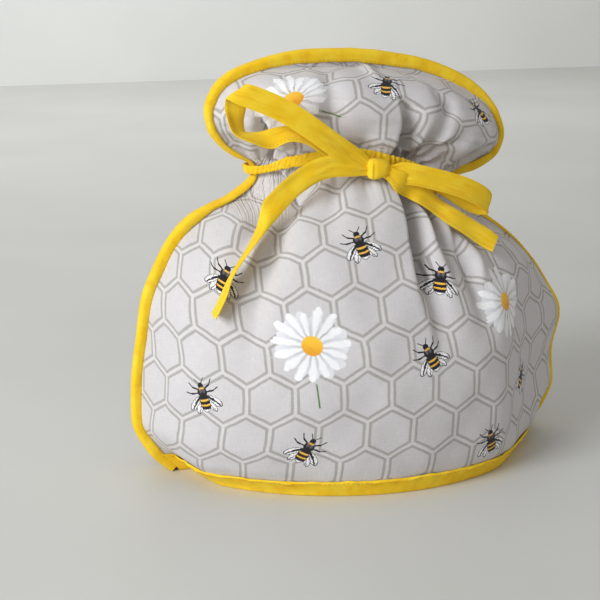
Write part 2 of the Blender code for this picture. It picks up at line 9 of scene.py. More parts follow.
import bpy
import numpy as np
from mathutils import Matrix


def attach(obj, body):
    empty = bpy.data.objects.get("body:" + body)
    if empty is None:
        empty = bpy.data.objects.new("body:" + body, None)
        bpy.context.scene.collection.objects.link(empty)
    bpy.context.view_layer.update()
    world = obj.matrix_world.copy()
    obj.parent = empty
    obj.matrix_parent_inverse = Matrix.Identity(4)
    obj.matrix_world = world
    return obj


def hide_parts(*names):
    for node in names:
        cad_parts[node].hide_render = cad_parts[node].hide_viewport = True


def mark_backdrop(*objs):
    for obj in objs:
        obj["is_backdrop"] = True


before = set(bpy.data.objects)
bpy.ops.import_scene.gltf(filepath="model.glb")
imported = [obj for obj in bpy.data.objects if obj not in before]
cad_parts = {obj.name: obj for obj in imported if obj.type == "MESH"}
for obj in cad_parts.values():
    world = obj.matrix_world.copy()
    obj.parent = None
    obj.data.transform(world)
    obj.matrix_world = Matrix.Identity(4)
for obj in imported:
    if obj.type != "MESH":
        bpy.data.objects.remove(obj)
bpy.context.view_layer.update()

MM = 0.001

# Cloth and trim.
PADDING = 4.5  # thickness of a quilted panel
SEAM_CLOTH = 2.0  # its thickness where it is pressed in the seam
HEM_CLOTH = 3.2  # and inside the hem binding
TAPE = 1.0  # thickness of the folded binding
GAP = 0.3  # air between neighbouring pieces
LOOSE = 0.65  # and where a binding lies over waved cloth
BOUND = 7.4  # reach of the binding over the panels, from their edge
HEM_BOUND = 11.0  # height of the binding on the hem
LIFT = 1.6  # the panels' lower edge above the surface
TRIM = 1.5  # the binding stands this far outside the panels' edge
SOFTEN = 4.5  # how softly a panel leaves the seam
FLAT_SEAM = 10.4  # width of the flat strip of both panels inside the binding
SEAM_ROOT = 15.0  # distance from the edge to where a panel has left the seam
SEAM_PART = 0.2  # half the space between the panels in the seam
HEM_PART = 2.2  # and at the hem, where both hem bindings turn inside
BAND_WIDTH = 7.0  # the ruched band round the neck
TIE_THICK = 1.2  # the folded tape of the tie

# Half of the even cosy by seam height: half width at the bound edge, half depth, and how much higher
# the middle of a row lies than its ends. A depth below 0 closes the row.
PROFILE_COLUMNS = ("name", "z", "tip", "depth", "arch")
PROFILE = (
    ("hem", 0, 121, 76, 0),
    ("tuck", 12, 133, 81, 0),
    ("belly", 34, 142.5, 88, 0),
    ("waist", 58, 142, 90, 0),
    ("chest", 78, 140, 88, 0),
    ("upper", 102, 134.5, 82, 1),
    ("shoulder", 127, 120.5, 70, 4),
    ("slope", 142, 107.5, 59, 6),
    ("collar", 151, 95, 50, 8),
    ("throat", 161, 79, 39, 10),
    ("neck", 170, 67, 31, 12),
    ("tied", 178, 68, 30, 12),
    ("lip", 186, 84, 32, 10),
    ("frill", 196, 95, 34, 7),
    ("widest", 206, 97.5, 34, 4),
    ("brow", 219, 93, 30, 2),
    ("crest", 229, 84, 20.5, 0),
    ("closing", 233.5, 77, 11, 0),
    ("crown", 237, 70, -16, 0),
    ("arc", 242.5, 55, -28, 0),
    ("rise", 246.5, 37, -32, 0),
    ("top", 249, 9, -34, 0),
)
TOP = 249.0
WIDEST = 206.0  # seam height where the frill is widest
NECK = 174.0  # seam height where the band draws the cloth in
CENTRE = -1.15  # brings the settled cosy back over the origin

# Seam heights of the rows of points, closest at the neck and where the top closes.
ROWS = (
    LIFT, 11.5, 20, 30, 42, 54, 64, 73, 81, 89, 98, 108, 119, 130, 139, 147, 154, 160, 165, 170, 174,
    178, 182, 186, 191, 197, 204, 212, 220, 227, 233, 239, 242, 245, 247, 248.3, TOP,
)

# Lean of the real cosy by height: shift to the right, and fall per unit of width.
LEAN_COLUMNS = ("z", "shift", "fall")
LEAN = (
    (0, 1, 0),
    (80, 1, 0),
    (110, -1.2, 0.03),
    (143, -1.5, 0.085),
    (165, 1, 0.115),
    (181, 2, 0.145),
    (200, 3.8, 0.12),
    (228, 4.5, 0.108),
    (240, 5, 0.09),
    (250, 5, 0.085),
)

# Waves of the bound side seams: side, height, reach, sway to the back, swell outwards.
WAVE_COLUMNS = ("side", "z", "reach", "sway", "swell")
WAVES = (
    (1, 81, 19, -6.5, 2.5),
    (1, 50, 16, 2.5, 0),
    (1, 120, 18, -2.5, 0),
    (1, 27, 14, -2.0, 0),
    (-1, 95, 22, -2.5, 0),
    (-1, 45, 16, 2, 0),
    (-1, 135, 12, 1.5, 0),
)

# Folds drawn in by the band: where each starts below, crosses the neck and ends above (place across
# the panel from -1 to 1, and seam height), its depth, its half width at the three, and its lean.
FOLD_COLUMNS = (
    "name", "low", "low_z", "neck", "high", "high_z", "depth", "low_width", "neck_width", "high_width", "skew",
)
FRONT_FOLDS = (
    ("far_left", -0.80, 118, -0.87, -0.84, 203, 5.0, 9, 3.6, 7, 0.0),
    ("left_tuck", -0.62, 112, -0.62, -0.64, 214, 9.0, 8, 3.6, 7, 0.35),
    ("left_soft", -0.47, 78, -0.46, -0.44, 218, 6.0, 15, 4.4, 10, 0.0),
    ("mid_left", -0.27, 132, -0.29, -0.29, 226, 5.0, 10, 4.2, 11, 0.0),
    ("centre", -0.09, 138, -0.11, -0.07, 214, 4.0, 9, 4.0, 9, 0.0),
    ("deep_valley", 0.10, 58, 0.10, 0.20, 230, 13.0, 9, 5.0, 11, 0.6),
    ("right_valley", 0.31, 76, 0.26, 0.41, 228, 9.5, 11, 4.6, 10, 0.3),
    ("outer_valley", 0.47, 92, 0.42, 0.56, 221, 7.5, 12, 4.4, 10, 0.0),
    ("right_soft", 0.63, 104, 0.59, 0.70, 216, 6.5, 12, 4.2, 9, 0.0),
    ("far_right", 0.80, 122, 0.78, 0.85, 206, 5.0, 9, 3.8, 7, 0.0),
)
BACK_FOLDS = (
    ("far_left", -0.78, 110, -0.80, -0.82, 205, 5.0, 10, 4.2, 8, 0.0),
    ("left", -0.58, 92, -0.60, -0.62, 215, 8.0, 12, 4.4, 9, 0.2),
    ("left_soft", -0.36, 70, -0.38, -0.36, 222, 7.0, 14, 4.6, 11, 0.0),
    ("middle", -0.14, 100, -0.15, -0.18, 226, 10.0, 11, 4.8, 11, -0.3),
    ("mid_right", 0.10, 84, 0.08, 0.05, 218, 6.0, 13, 4.4, 10, 0.0),
    ("right", 0.34, 62, 0.31, 0.30, 226, 10.5, 12, 4.8, 11, 0.3),
    ("right_soft", 0.56, 96, 0.55, 0.58, 216, 6.5, 12, 4.4, 9, 0.0),
    ("far_right", 0.79, 116, 0.78, 0.80, 206, 5.0, 10, 4.2, 8, 0.0),
)

# The tape of the tie by run, from the knot, already settled. Each line is one station: x, y and z of the
# tape's upper edge, then of its lower edge.
TIE = {
    "left_loop": (
        (-8.0, -46.0, 189.3, -12.9, -46.0, 183.7),
        (-13.0, -47.0, 195.0, -23.6, -47.0, 187.5),
        (-28.7, -49.0, 205.9, -37.1, -49.0, 196.0),
        (-43.3, -49.5, 216.5, -51.3, -49.5, 206.3),
        (-56.5, -48.5, 225.3, -62.9, -48.5, 213.9),
        (-69.4, -47.0, 231.7, -74.8, -47.0, 219.8),
        (-78.7, -45.5, 235.3, -84.2, -45.5, 223.5),
        (-81.3, -44.5, 236.0, -90.1, -44.5, 226.0),
        (-81.9, -42.6, 236.0, -94.1, -42.6, 228.4),
        (-81.3, -40.8, 230.8, -94.0, -40.8, 226.6),
        (-81.3, -39.8, 223.6, -94.3, -39.8, 222.9),
        (-82.4, -37.0, 215.0, -93.7, -43.0, 217.1),
        (-81.1, -37.5, 208.2, -91.3, -45.5, 209.1),
        (-74.2, -37.9, 208.4, -80.7, -48.1, 204.0),
        (-67.9, -40.3, 210.1, -69.2, -47.7, 199.5),
        (-57.4, -39.2, 211.4, -59.8, -49.8, 204.2),
        (-44.8, -39.4, 208.6, -50.3, -49.6, 202.6),
        (-31.6, -40.0, 200.5, -38.7, -49.0, 194.5),
        (-19.8, -44.5, 193.1, -23.4, -44.5, 187.6),
        (-8.6, -44.5, 188.5, -12.2, -44.5, 183.5),
    ),
    "right_loop": (
        (-2.1, -47.0, 188.5, -2.0, -47.0, 182.1),
        (3.5, -48.5, 187.3, 3.7, -48.5, 178.8),
        (9.5, -49.0, 189.0, 9.8, -49.0, 176.0),
        (18.8, -51.0, 187.3, 19.1, -51.0, 174.3),
        (28.8, -51.5, 184.7, 29.1, -51.5, 171.7),
        (39.2, -51.5, 181.8, 38.9, -51.5, 168.8),
        (49.9, -51.0, 178.2, 48.2, -51.0, 165.3),
        (60.0, -49.5, 173.6, 57.0, -49.5, 160.9),
        (66.6, -47.3, 169.3, 64.8, -47.3, 156.4),
        (69.8, -44.8, 166.2, 68.6, -44.8, 153.3),
        (68.1, -42.4, 165.2, 64.6, -42.4, 152.7),
        (56.4, -41.2, 168.7, 52.7, -41.2, 156.3),
        (44.9, -41.0, 173.7, 39.7, -41.0, 161.8),
        (34.3, -41.5, 178.1, 28.1, -41.5, 166.6),
        (21.8, -43.0, 182.2, 16.5, -43.0, 170.3),
        (7.6, -45.0, 183.6, 5.8, -45.0, 177.3),
        (-0.0, -45.0, 187.6, -1.2, -45.0, 181.8),
    ),
    "right_tail": (
        (0.4, -47.0, 188.4, -4.5, -47.0, 181.7),
        (4.4, -49.3, 185.6, 0.8, -49.3, 178.5),
        (11.8, -50.0, 183.3, 5.3, -50.0, 172.0),
        (21.2, -45.5, 178.1, 14.0, -45.5, 167.3),
        (28.7, -44.4, 172.2, 19.9, -49.5, 164.1),
        (38.9, -42.4, 163.2, 30.0, -49.7, 157.3),
        (47.6, -47.5, 157.9, 38.5, -53.5, 150.7),
        (58.0, -47.5, 150.7, 49.0, -54.3, 144.3),
        (67.3, -49.9, 145.4, 58.9, -55.1, 137.1),
        (72.9, -50.4, 141.1, 65.3, -57.8, 133.5),
    ),
    "left_tail": (
        (-8.0, -46.0, 189.3, -7.9, -46.0, 181.7),
        (-13.3, -46.8, 192.3, -13.2, -46.8, 181.8),
        (-21.8, -48.0, 194.9, -21.7, -48.0, 181.9),
        (-32.4, -48.5, 195.2, -31.0, -48.5, 182.3),
        (-43.1, -48.5, 193.3, -38.9, -48.5, 181.0),
        (-53.2, -48.0, 188.4, -47.7, -48.0, 176.6),
        (-62.9, -47.5, 181.6, -55.3, -47.5, 171.1),
        (-69.7, -47.0, 174.9, -61.9, -47.0, 164.5),
        (-74.6, -46.0, 169.4, -66.3, -46.0, 159.3),
        (-75.8, -42.0, 157.3, -76.4, -54.1, 152.8),
        (-84.9, -47.9, 143.9, -85.7, -60.6, 146.7),
        (-92.8, -49.9, 133.7, -93.2, -62.0, 138.5),
        (-97.2, -50.6, 127.2, -98.4, -63.1, 130.6),
        (-101.7, -51.4, 119.1, -100.6, -63.7, 123.0),
        (-106.9, -51.6, 109.9, -108.0, -64.5, 109.4),
    ),
}
KNOT = (-4.4, -46.9, 185.5)  # centre
KNOT_HALF = (6.9, 4.2, 7.2)  # half its width, depth and height



# Fineness of the cloth: rows between two seam heights of ROWS, columns across a panel.
ROW_STEPS = 5
FRONT_COLUMNS = 216
BACK_COLUMNS = 200

# Small creases that only show close up, in the same columns as the folds.
FRONT_CREASES = (
    ("pleat_1", -0.66, 137, -0.975, -0.93, 190, 2.3, 2.2, 1.5, 2.0, 0.0),
    ("pleat_2", -0.645, 139, -0.93, -0.90, 196, 2.3, 2.2, 1.5, 2.0, 0.0),
    ("pleat_3", -0.63, 136, -0.81, -0.80, 192, 2.3, 2.2, 1.5, 2.0, 0.0),
    ("pleat_4", -0.61, 140, -0.76, -0.76, 197, 2.3, 2.2, 1.5, 2.0, 0.0),
    ("pleat_5", -0.59, 137, -0.70, -0.71, 190, 2.3, 2.2, 1.5, 2.0, 0.0),
    ("pleat_6", -0.555, 141, -0.56, -0.58, 194, 2.3, 2.2, 1.5, 2.0, 0.0),
    ("pleat_7", -0.53, 144, -0.52, -0.54, 189, 2.3, 2.2, 1.5, 2.0, 0.0),
    ("valley_cut", 0.115, 84, 0.10, 0.155, 212, 6.5, 6.0, 3.2, 7.0, 0.55),
    ("right_cut", 0.32, 104, 0.26, 0.36, 206, 4.0, 6.0, 2.8, 6.0, 0.4),
    ("outer_cut", 0.47, 116, 0.42, 0.50, 204, 3.0, 6.0, 2.6, 6.0, 0.3),
    ("hair_left", -0.36, 156, -0.37, -0.38, 196, 1.4, 2.4, 1.4, 2.6, 0.0),
    ("hair_middle", -0.18, 160, -0.20, -0.17, 199, 1.5, 2.4, 1.4, 2.8, 0.0),
    ("hair_right", 0.17, 150, 0.175, 0.24, 204, 1.6, 2.4, 1.4, 3.0, 0.0),
    ("hair_far", 0.36, 152, 0.345, 0.48, 202, 1.6, 2.4, 1.4, 3.0, 0.0),
    ("hair_edge", 0.52, 150, 0.505, 0.62, 200, 1.5, 2.4, 1.4, 2.8, 0.0),
    ("hair_last", 0.70, 150, 0.685, 0.78, 198, 1.3, 2.4, 1.4, 2.6, 0.0),
)
BACK_CREASES = (
    ("hair_1", -0.88, 148, -0.90, -0.90, 196, 1.3, 2.2, 1.3, 2.4, 0.0),
    ("hair_2", -0.70, 142, -0.70, -0.72, 198, 1.5, 2.4, 1.3, 2.6, 0.0),
    ("hair_3", -0.48, 146, -0.49, -0.50, 202, 1.6, 2.4, 1.4, 3.0, 0.0),
    ("hair_4", -0.25, 150, -0.26, -0.27, 204, 1.5, 2.4, 1.4, 3.0, 0.0),
    ("hair_5", -0.02, 152, -0.03, -0.04, 200, 1.5, 2.4, 1.4, 2.8, 0.0),
    ("hair_6", 0.20, 148, 0.19, 0.17, 203, 1.6, 2.4, 1.4, 3.0, 0.0),
    ("hair_7", 0.46, 150, 0.44, 0.44, 199, 1.5, 2.4, 1.4, 2.8, 0.0),
    ("hair_8", 0.68, 146, 0.67, 0.69, 197, 1.3, 2.4, 1.3, 2.6, 0.0),
    ("hair_9", 0.90, 150, 0.90, 0.90, 192, 1.2, 2.2, 1.3, 2.4, 0.0),
)

# Single dents, folds and puffs of the front: from one place and height to another, how wide to its left and
# right, and how deep. A puff has a negative depth.
DENT_LINE_COLUMNS = ("name", "place", "z", "to_place", "to_z", "left", "right", "deep")
FRONT_LINES = (
    ("valley_c", 0.165, 166, 0.085, 128, 1.8, 7.5, 11.0),
    ("valley_2", 0.350, 164, 0.250, 132, 2.4, 5.0, 8.0),
    ("ridge", 0.255, 150, 0.135, 116, 3.0, 3.0, -0.6),
    ("slope_3", 0.500, 156, 0.320, 116, 3.4, 6.0, 5.0),
    ("slope_3_lip", 0.400, 128, 0.345, 114, 4.0, 3.0, -1.6),
    ("recess", -0.722, 196, -0.716, 166, 3.2, 1.5, 13.0),
    ("left_soft", -0.565, 138, -0.530, 100, 8.0, 6.0, 3.0),
    ("under_tail", -0.750, 150, -0.620, 126, 6.0, 5.0, 3.0),
    ("frill_dimple", -0.370, 225, -0.300, 211, 5.0, 6.0, 3.0),
    ("frill_shade", -0.330, 209, -0.220, 190, 6.0, 7.0, 3.5),
    ("frill_cut", 0.140, 212, 0.225, 187, 1.8, 7.0, 8.5),
    ("pleat_line", 0.390, 180, 0.475, 195, 1.8, 2.6, 6.0),
    ("pleat_puff", 0.350, 183, 0.385, 187, 4.0, 4.0, -2.2),
    ("far_puff", 0.580, 184, 0.600, 191, 6.0, 6.0, -2.5),
    ("frill_dent", 0.465, 224, 0.490, 219, 4.0, 4.5, 2.6),
    ("frill_slope", 0.458, 216, 0.400, 196, 5.0, 3.5, 3.2),
    ("frill_left", -0.720, 214, -0.600, 190, 4.0, 6.0, 3.0),
)

# Soft unevenness of padded cloth: wave length across and up, how far it leans, and its height.
DENT_COLUMNS = ("across", "up", "lean", "height")
DENTS = (
    (61, 74, 0.4, 0.55),
    (37, 52, 2.1, 0.35),
    (23, 41, 4.0, 0.18),
)


def column(table, names, name):
    """One column of a table, by its name."""
    place = names.index(name)
    return np.array([line[place] for line in table], float)


def through(xs, ys, x):
    """Smooth curve through points, with no swing past them (monotone cubic)."""
    xs = np.asarray(xs, float)
    ys = np.asarray(ys, float)
    run = np.diff(xs)
    rise = np.diff(ys) / run
    tangent = np.zeros_like(ys)
    tangent[0], tangent[-1] = rise[0], rise[-1]
    before, after = 2 * run[1:] + run[:-1], run[1:] + 2 * run[:-1]
    same = rise[:-1] * rise[1:] > 0
    inner = np.zeros(len(rise) - 1)
    inner[same] = (before + after)[same] / (before[same] / rise[:-1][same] + after[same] / rise[1:][same])
    tangent[1:-1] = inner
    x = np.clip(x, xs[0], xs[-1])
    i = np.clip(np.searchsorted(xs, x) - 1, 0, len(run) - 1)
    t = (x - xs[i]) / run[i]
    start = (2 * t**3 - 3 * t**2 + 1) * ys[i] + (t**3 - 2 * t**2 + t) * run[i] * tangent[i]
    end = (3 * t**2 - 2 * t**3) * ys[i + 1] + (t**3 - t**2) * run[i] * tangent[i + 1]
    return start + end


def profile(name, z):
    return through(column(PROFILE, PROFILE_COLUMNS, "z"), column(PROFILE, PROFILE_COLUMNS, name), z)


def ease(start, end, x):
    """0 at start, 1 at end, smooth between."""
    t = np.clip((x - start) / (end - start), 0, 1)
    return t * t * (3 - 2 * t)


def swell(centre, reach, x):
    return np.exp(-(((x - centre) / reach) ** 2))


def outline():
    """Half width and seam height along the bound edge, from below the hem up, and its outward normal."""
    heights = np.concatenate([np.linspace(0, 235, 300), np.linspace(235.3, TOP, 80)])
    edge = np.stack([profile("tip", heights), heights], -1)
    foot = edge[0] + np.linspace(-16, -1, 16)[:, None] * (edge[1] - edge[0]) / (heights[1] - heights[0])
    edge = np.concatenate([foot, edge])
    along = np.gradient(edge, axis=0)
    normal = np.stack([along[:, 1], -along[:, 0]], -1)
    return edge, normal / np.linalg.norm(normal, axis=-1, keepdims=True)


def inset(z, distance):
    """Half width at seam height z of the bound edge moved in by a distance, 0 above its top."""
    edge, normal = outline()
    inner = edge - distance * normal
    return np.interp(z, inner[:, 1], inner[:, 0], right=0.0)


def ratio(z):
    """Depth to width of a row."""
    low = np.minimum(z, WIDEST)
    return profile("depth", low) / inset(low, SEAM_ROOT)


def seam_distance(x, z):
    """Distance from the bound edge to points of one row."""
    edge, _ = outline()
    return np.hypot(edge[:, 0] - np.abs(x)[:, None], edge[:, 1] - z).min(axis=1)


def depth_at(x, z):
    """How far the cloth's inner face stands off the seam plane at x on the row of seam height z."""

    def inside(x, z):
        depth = profile("depth", z)
        return depth * np.abs(depth) - (ratio(z) * x) ** 2

    slope = np.hypot(inside(x + 0.5, z) - inside(x - 0.5, z), inside(x, z + 0.5) - inside(x, z - 0.5))
    round_off = np.sqrt(np.maximum(inside(x, z) + SOFTEN * slope, 0) + 1e-9)
    return round_off * ease(FLAT_SEAM, FLAT_SEAM + 2 * SOFTEN, seam_distance(x, z))


def row(z, places):
    """x, depth and thread length at the places (-1 to 1) of one row, with the two edges added."""
    edge = float(profile("tip", z)) - TRIM
    x = edge * np.sin(np.linspace(0, np.pi / 2, 500))
    depth = depth_at(x, z)
    thread = np.concatenate([[0], np.cumsum(np.hypot(np.diff(x), np.diff(depth)))])
    inner = np.interp(max(float(inset(z, FLAT_SEAM)), edge / 2), x, thread)
    along = np.concatenate([[-thread[-1]], np.asarray(places) * inner, [thread[-1]]])
    way = np.sign(along)
    return way * np.interp(np.abs(along), thread, x), np.interp(np.abs(along), thread, depth), along


def parting(z):
    """Half the space between the two panels in the seam."""
    return SEAM_PART + (HEM_PART - SEAM_PART) * ease(26, 12, z)


def arch(x, z):
    """Rise of a row's middle over its ends."""
    across = np.clip(np.abs(x) / np.maximum(inset(z, FLAT_SEAM), 1), 0, 1)
    return profile("arch", z) * (1 - across**2) ** 1.5


def fold_depth(folds, along, z):
    """How far the folds draw the cloth in, for thread positions (rows by columns) at heights z."""
    heights = np.asarray(z)[:, None]
    half = along[:, -1:]
    depth = np.zeros_like(along)
    for line in folds:
        fold = dict(zip(FOLD_COLUMNS, line))
        ends = (fold["low_z"], NECK, fold["high_z"])
        place = through(ends, (fold["low"], fold["neck"], fold["high"]), heights)
        width = through(ends, (fold["low_width"], fold["neck_width"], fold["high_width"]), heights)
        strength = ease(fold["low_z"], NECK + 4, heights) * ease(fold["high_z"], NECK - 2, heights)
        off = along - place * half
        width = width * np.where(off < 0, 1 - fold["skew"], 1 + fold["skew"])
        depth += fold["depth"] * strength * np.exp(-((off / width) ** 2))
    return depth * ease(0, 14, half - np.abs(along))


def surfaces(side, folds, heights, places):
    """Inner and outer face (rows by columns by xyz) of one panel on the even cosy. side is -1 in front."""
    lines = [row(z, places) for z in heights]
    x = np.array([line[0] for line in lines])
    depth = np.array([line[1] for line in lines])
    along = np.array([line[2] for line in lines])
    z = np.repeat(np.asarray(heights, float)[:, None], x.shape[1], axis=1)
    middle = np.stack([x, side * (depth + parting(z)), z + arch(x, z)], -1)
    outward = side * np.cross(np.gradient(middle, axis=0), np.gradient(middle, axis=1))
    outward[..., 2] *= ease(0, 20, z)
    outward[:, [0, -1]] = (0, side, 0)
    outward[:, [1, -2]] = (0, side, 0)
    outward /= np.linalg.norm(outward, axis=-1, keepdims=True)
    full = HEM_CLOTH + (PADDING - HEM_CLOTH) * ease(12, 24, z)
    thick = SEAM_CLOTH + (full - SEAM_CLOTH) * ease(0, 6, depth)
    drawn = fold_depth(folds, along, heights) * (1 - np.exp(-((depth / 13) ** 2)))
    inner = middle - outward * drawn[..., None]
    return inner, inner + outward * thick[..., None], outward


# The front's lower right, where the cloth is pressed in from the even cosy.
PRESSED_FROM = 8  # only cloth that stands further out than this
PRESSED_BACK = 0.62  # share of it that the cloth goes back
PRESSED_LEFT = 0.1  # and to the left


def settle(points):
    """Moves points of the even cosy to where they lie on the real one."""
    x, y, z = points[..., 0], points[..., 1], points[..., 2]
    levels = column(LEAN, LEAN_COLUMNS, "z")
    shift = through(levels, column(LEAN, LEAN_COLUMNS, "shift"), z)
    fall = through(levels, column(LEAN, LEAN_COLUMNS, "fall"), z)
    near_edge = ease(-36, -16, np.abs(x) - profile("tip", np.clip(z, 0, TOP)))
    drawn_back = 8 * swell(NECK, 16, z) * ease(34, 54, np.abs(x))
    tucked = 5 * ease(20, -90, x) * ease(70, 0, z) * ease(-10, -60, y)
    sway = np.zeros_like(x)
    out = np.zeros_like(x)
    for line in WAVES:
        wave = dict(zip(WAVE_COLUMNS, line))
        here = near_edge * swell(wave["z"], wave["reach"], z) * (np.sign(x) == wave["side"])
        sway = sway + wave["sway"] * here
        out = out + wave["side"] * wave["swell"] * here
    proud = np.maximum(-y - PRESSED_FROM, 0)
    pressed = proud**2 / (proud + PRESSED_FROM) * ease(62, 126, x)
    pressed = pressed * ease(132, 92, z) * (0.5 + 0.5 * ease(8, 34, z))
    shift = shift - PRESSED_LEFT * pressed
    y = y + drawn_back + tucked + sway + PRESSED_BACK * pressed
    return np.stack([x + shift + out + CENTRE, y, z - fall * x], -1)


def ripple(along, z):
    """Close gathers of the cloth beside the band."""
    near = swell(NECK + 1, 11, z)[:, None]
    turn = 2 * np.pi * along / 4.6 + 1.7 * np.sin(along / 11.0) + 1.1 * np.sin(along / 4.3 + 1)
    return 0.45 * near * np.sin(turn)


def dents(along, z):
    """Soft unevenness over a whole panel."""
    total = np.zeros_like(along)
    for line in DENTS:
        dent = dict(zip(DENT_COLUMNS, line))
        across = 2 * np.pi * along / dent["across"] + dent["lean"] + 1.3 * np.sin(z[:, None] / 31)
        up = 2 * np.pi * z[:, None] / dent["up"] + 2 * dent["lean"] + along / 45
        total += dent["height"] * np.sin(across) * np.sin(up)
    return total


def calm(values, reach):
    """Values of a grid smoothed over neighbouring rows."""
    weights = swell(0, reach, np.arange(-2 * reach, 2 * reach + 1))
    wide = np.pad(values, ((2 * reach, 2 * reach), (0, 0)), mode="reflect", reflect_type="odd")
    return sum(w * wide[k : k + len(values)] for k, w in enumerate(weights)) / weights.sum()


# The cloth beside a panel's edges, where it comes out of its binding.
SEAM_SHARES = (0.42, 0.55, 0.68, 0.80, 0.91)  # extra columns between the outer two
SEAM_PASSES = 40  # how often the front's move there is smoothed over the rows
SEAM_STEP = 0.3  # a section's next point is at least this far in from the last
SEAM_PARTS = 4  # the move takes in one of so many parts of a row, at either end
SEAM_FOOT = (8, 30)  # heights over which it sets in
RIGHT_PASSES = 260  # how often the front's right side is smoothed over the columns
RIGHT_FROM = (56, 84)  # where along x that sets in,
RIGHT_TOP = (150, 118)  # where it fades above
RIGHT_FOOT = (6, 30)  # and below
PRINT_REACH = 9  # rows over which the print's place across is evened out


def widened(grid):
    """The grid with more columns beside both edges."""
    first = [grid[:, 0] * (1 - s) + grid[:, 1] * s for s in SEAM_SHARES]
    last = [grid[:, -1] * (1 - s) + grid[:, -2] * s for s in SEAM_SHARES[::-1]]
    parts = [grid[:, :1], np.stack(first, 1), grid[:, 1:-1], np.stack(last, 1), grid[:, -1:]]
    return np.concatenate(parts, axis=1)


def seam_lift(side, heights, places):
    """How far the front moves beside its edges, so that it swells from the binding without a hollow.

    The outer quarter of each section becomes the tightest line over it, with its points evenly spaced.
    """
    plain = widened(surfaces(side, (), heights, places)[1])
    moved = plain.copy()
    last = plain.shape[1] // SEAM_PARTS
    for way in (1, -1) if side < 0 else ():
        for old, new in zip(plain[:, ::way], moved[:, ::way]):
            across = np.abs(old[: last + 1, 0] - old[0, 0])
            proud = side * old[: last + 1, 1]
            corners = [0, 1]
            while corners[-1] < last:
                j = corners[-1]
                gap, rise = across[j + 1 :] - across[j], proud[j + 1 :] - proud[j]
                steep = np.where(gap > SEAM_STEP, rise / np.maximum(gap, SEAM_STEP), -1e9)
                corners.append(j + 1 + int(np.argmax(steep)))
            steps = np.hypot(np.diff(across[corners]), np.diff(proud[corners]))
            run = np.concatenate([[0], np.cumsum(steps)])
            even = np.linspace(0, run[-1], last + 1)
            for axis in range(3):
                new[: last + 1, axis] = np.interp(even, run, old[corners, axis])
    lift = moved - plain
    for _ in range(SEAM_PASSES):
        lift[1:-1] = (lift[:-2] + 2 * lift[1:-1] + lift[2:]) / 4
    return lift * ease(*SEAM_FOOT, np.asarray(heights, float))[:, None, None]


def eased_right(side, lift, heights, places):
    """How far the front's right side moves to turn back in one round sweep."""
    base = settle(widened(surfaces(side, (), heights, places)[1]) + lift)
    if side > 0:
        return 0 * base
    smooth = base.copy()
    for _ in range(RIGHT_PASSES):
        smooth[:, 1:-1] = (smooth[:, :-2] + 2 * smooth[:, 1:-1] + smooth[:, 2:]) / 4
    x, z = base[..., 0], base[..., 2]
    share = ease(*RIGHT_FROM, x) * ease(*RIGHT_TOP, z) * ease(*RIGHT_FOOT, z)
    return (smooth - base) * share[..., None]


def cloth_position(side, folds, lift, eased, heights, places):
    """Position across and up the cloth, in millimetres, from the foot of its middle.

    Beside the front's edges it is the exact length along the cloth, which the moves there change.
    """
    folded = settle(widened(surfaces(side, folds, heights, places)[1]) + lift)
    folded += eased
    plain = settle(widened(surfaces(side, (), heights, places)[1]))
    across = np.linalg.norm(np.diff(folded, axis=1), axis=-1)
    run = np.concatenate([np.zeros((len(folded), 1)), np.cumsum(across, axis=1)], axis=1)
    u = calm(run - run[:, run.shape[1] // 2, None], PRINT_REACH)
    up = np.linalg.norm(np.diff(plain, axis=0), axis=-1)
    v = np.concatenate([np.zeros((1, u.shape[1])), np.cumsum(up, axis=0)], axis=0)
    far = u.shape[1] // SEAM_PARTS + 1
    for way in (1, -1) if side < 0 else ():
        at, exact, high = u[:, ::way], run[:, ::way], v[:, ::way]
        at[:, :far] = at[:, far, None] + exact[:, :far] - exact[:, far, None]
        share = (at[:, :far] - at[:, far, None]) / (at[:, :1] - at[:, far, None])
        high[:, :far] = high[:, far, None] * (1 - share) + high[:, :1] * share
    return u, v


def line_depth(lines, along, z):
    """How far the single dents and folds draw the cloth in."""
    heights = np.asarray(z, float)[:, None]
    levels = np.array([row(h, [0.5])[2][1] * 2 for h in z])
    depth = np.zeros_like(along)
    for entry in lines:
        line = dict(zip(DENT_LINE_COLUMNS, entry))
        start = np.array([line["place"] * np.interp(line["z"], z, levels), line["z"]])
        end = np.array([line["to_place"] * np.interp(line["to_z"], z, levels), line["to_z"]])
        way = end - start
        long = np.hypot(*way)
        way = way / long
        if way[1] < 0:
            start, way = end, -way
        down = (along - start[0]) * way[0] + (heights - start[1]) * way[1]
        off = (along - start[0]) * way[1] - (heights - start[1]) * way[0]
        past = np.maximum(-down, 0) + np.maximum(down - long, 0)
        width = np.where(off < 0, line["left"], line["right"])
        tail = (line["left"] + line["right"]) / 2 + 0.18 * long
        depth += line["deep"] * np.exp(-((off / width) ** 2)) * np.exp(-((past / tail) ** 2))
    return depth


# Left of the neck, where the tape pulls hardest: how much lower and further in the cloth and its trim lie.
LEFT_NECK_FROM = (-48, -64)  # where along x this sets in and is whole
LEFT_NECK_COLUMNS = ("z", "lower", "inward")
LEFT_NECK = (
    (158, 0.0, 0.0),
    (165, 2.2, 0.0),
    (169, 3.9, 0.0),
    (172, 3.8, 0.5),
    (175, 2.6, 1.8),
    (178, 1.2, 2.7),
    (181, 0.9, 2.9),
    (184, 1.9, 2.6),
    (188, 3.5, 1.4),
    (192, 4.0, 0.0),
    (196, 3.3, -0.2),
    (200, 2.7, -0.2),
    (205, 1.7, 0.0),
    (210, 0.6, 0.0),
    (216, 0.0, 0.0),
)


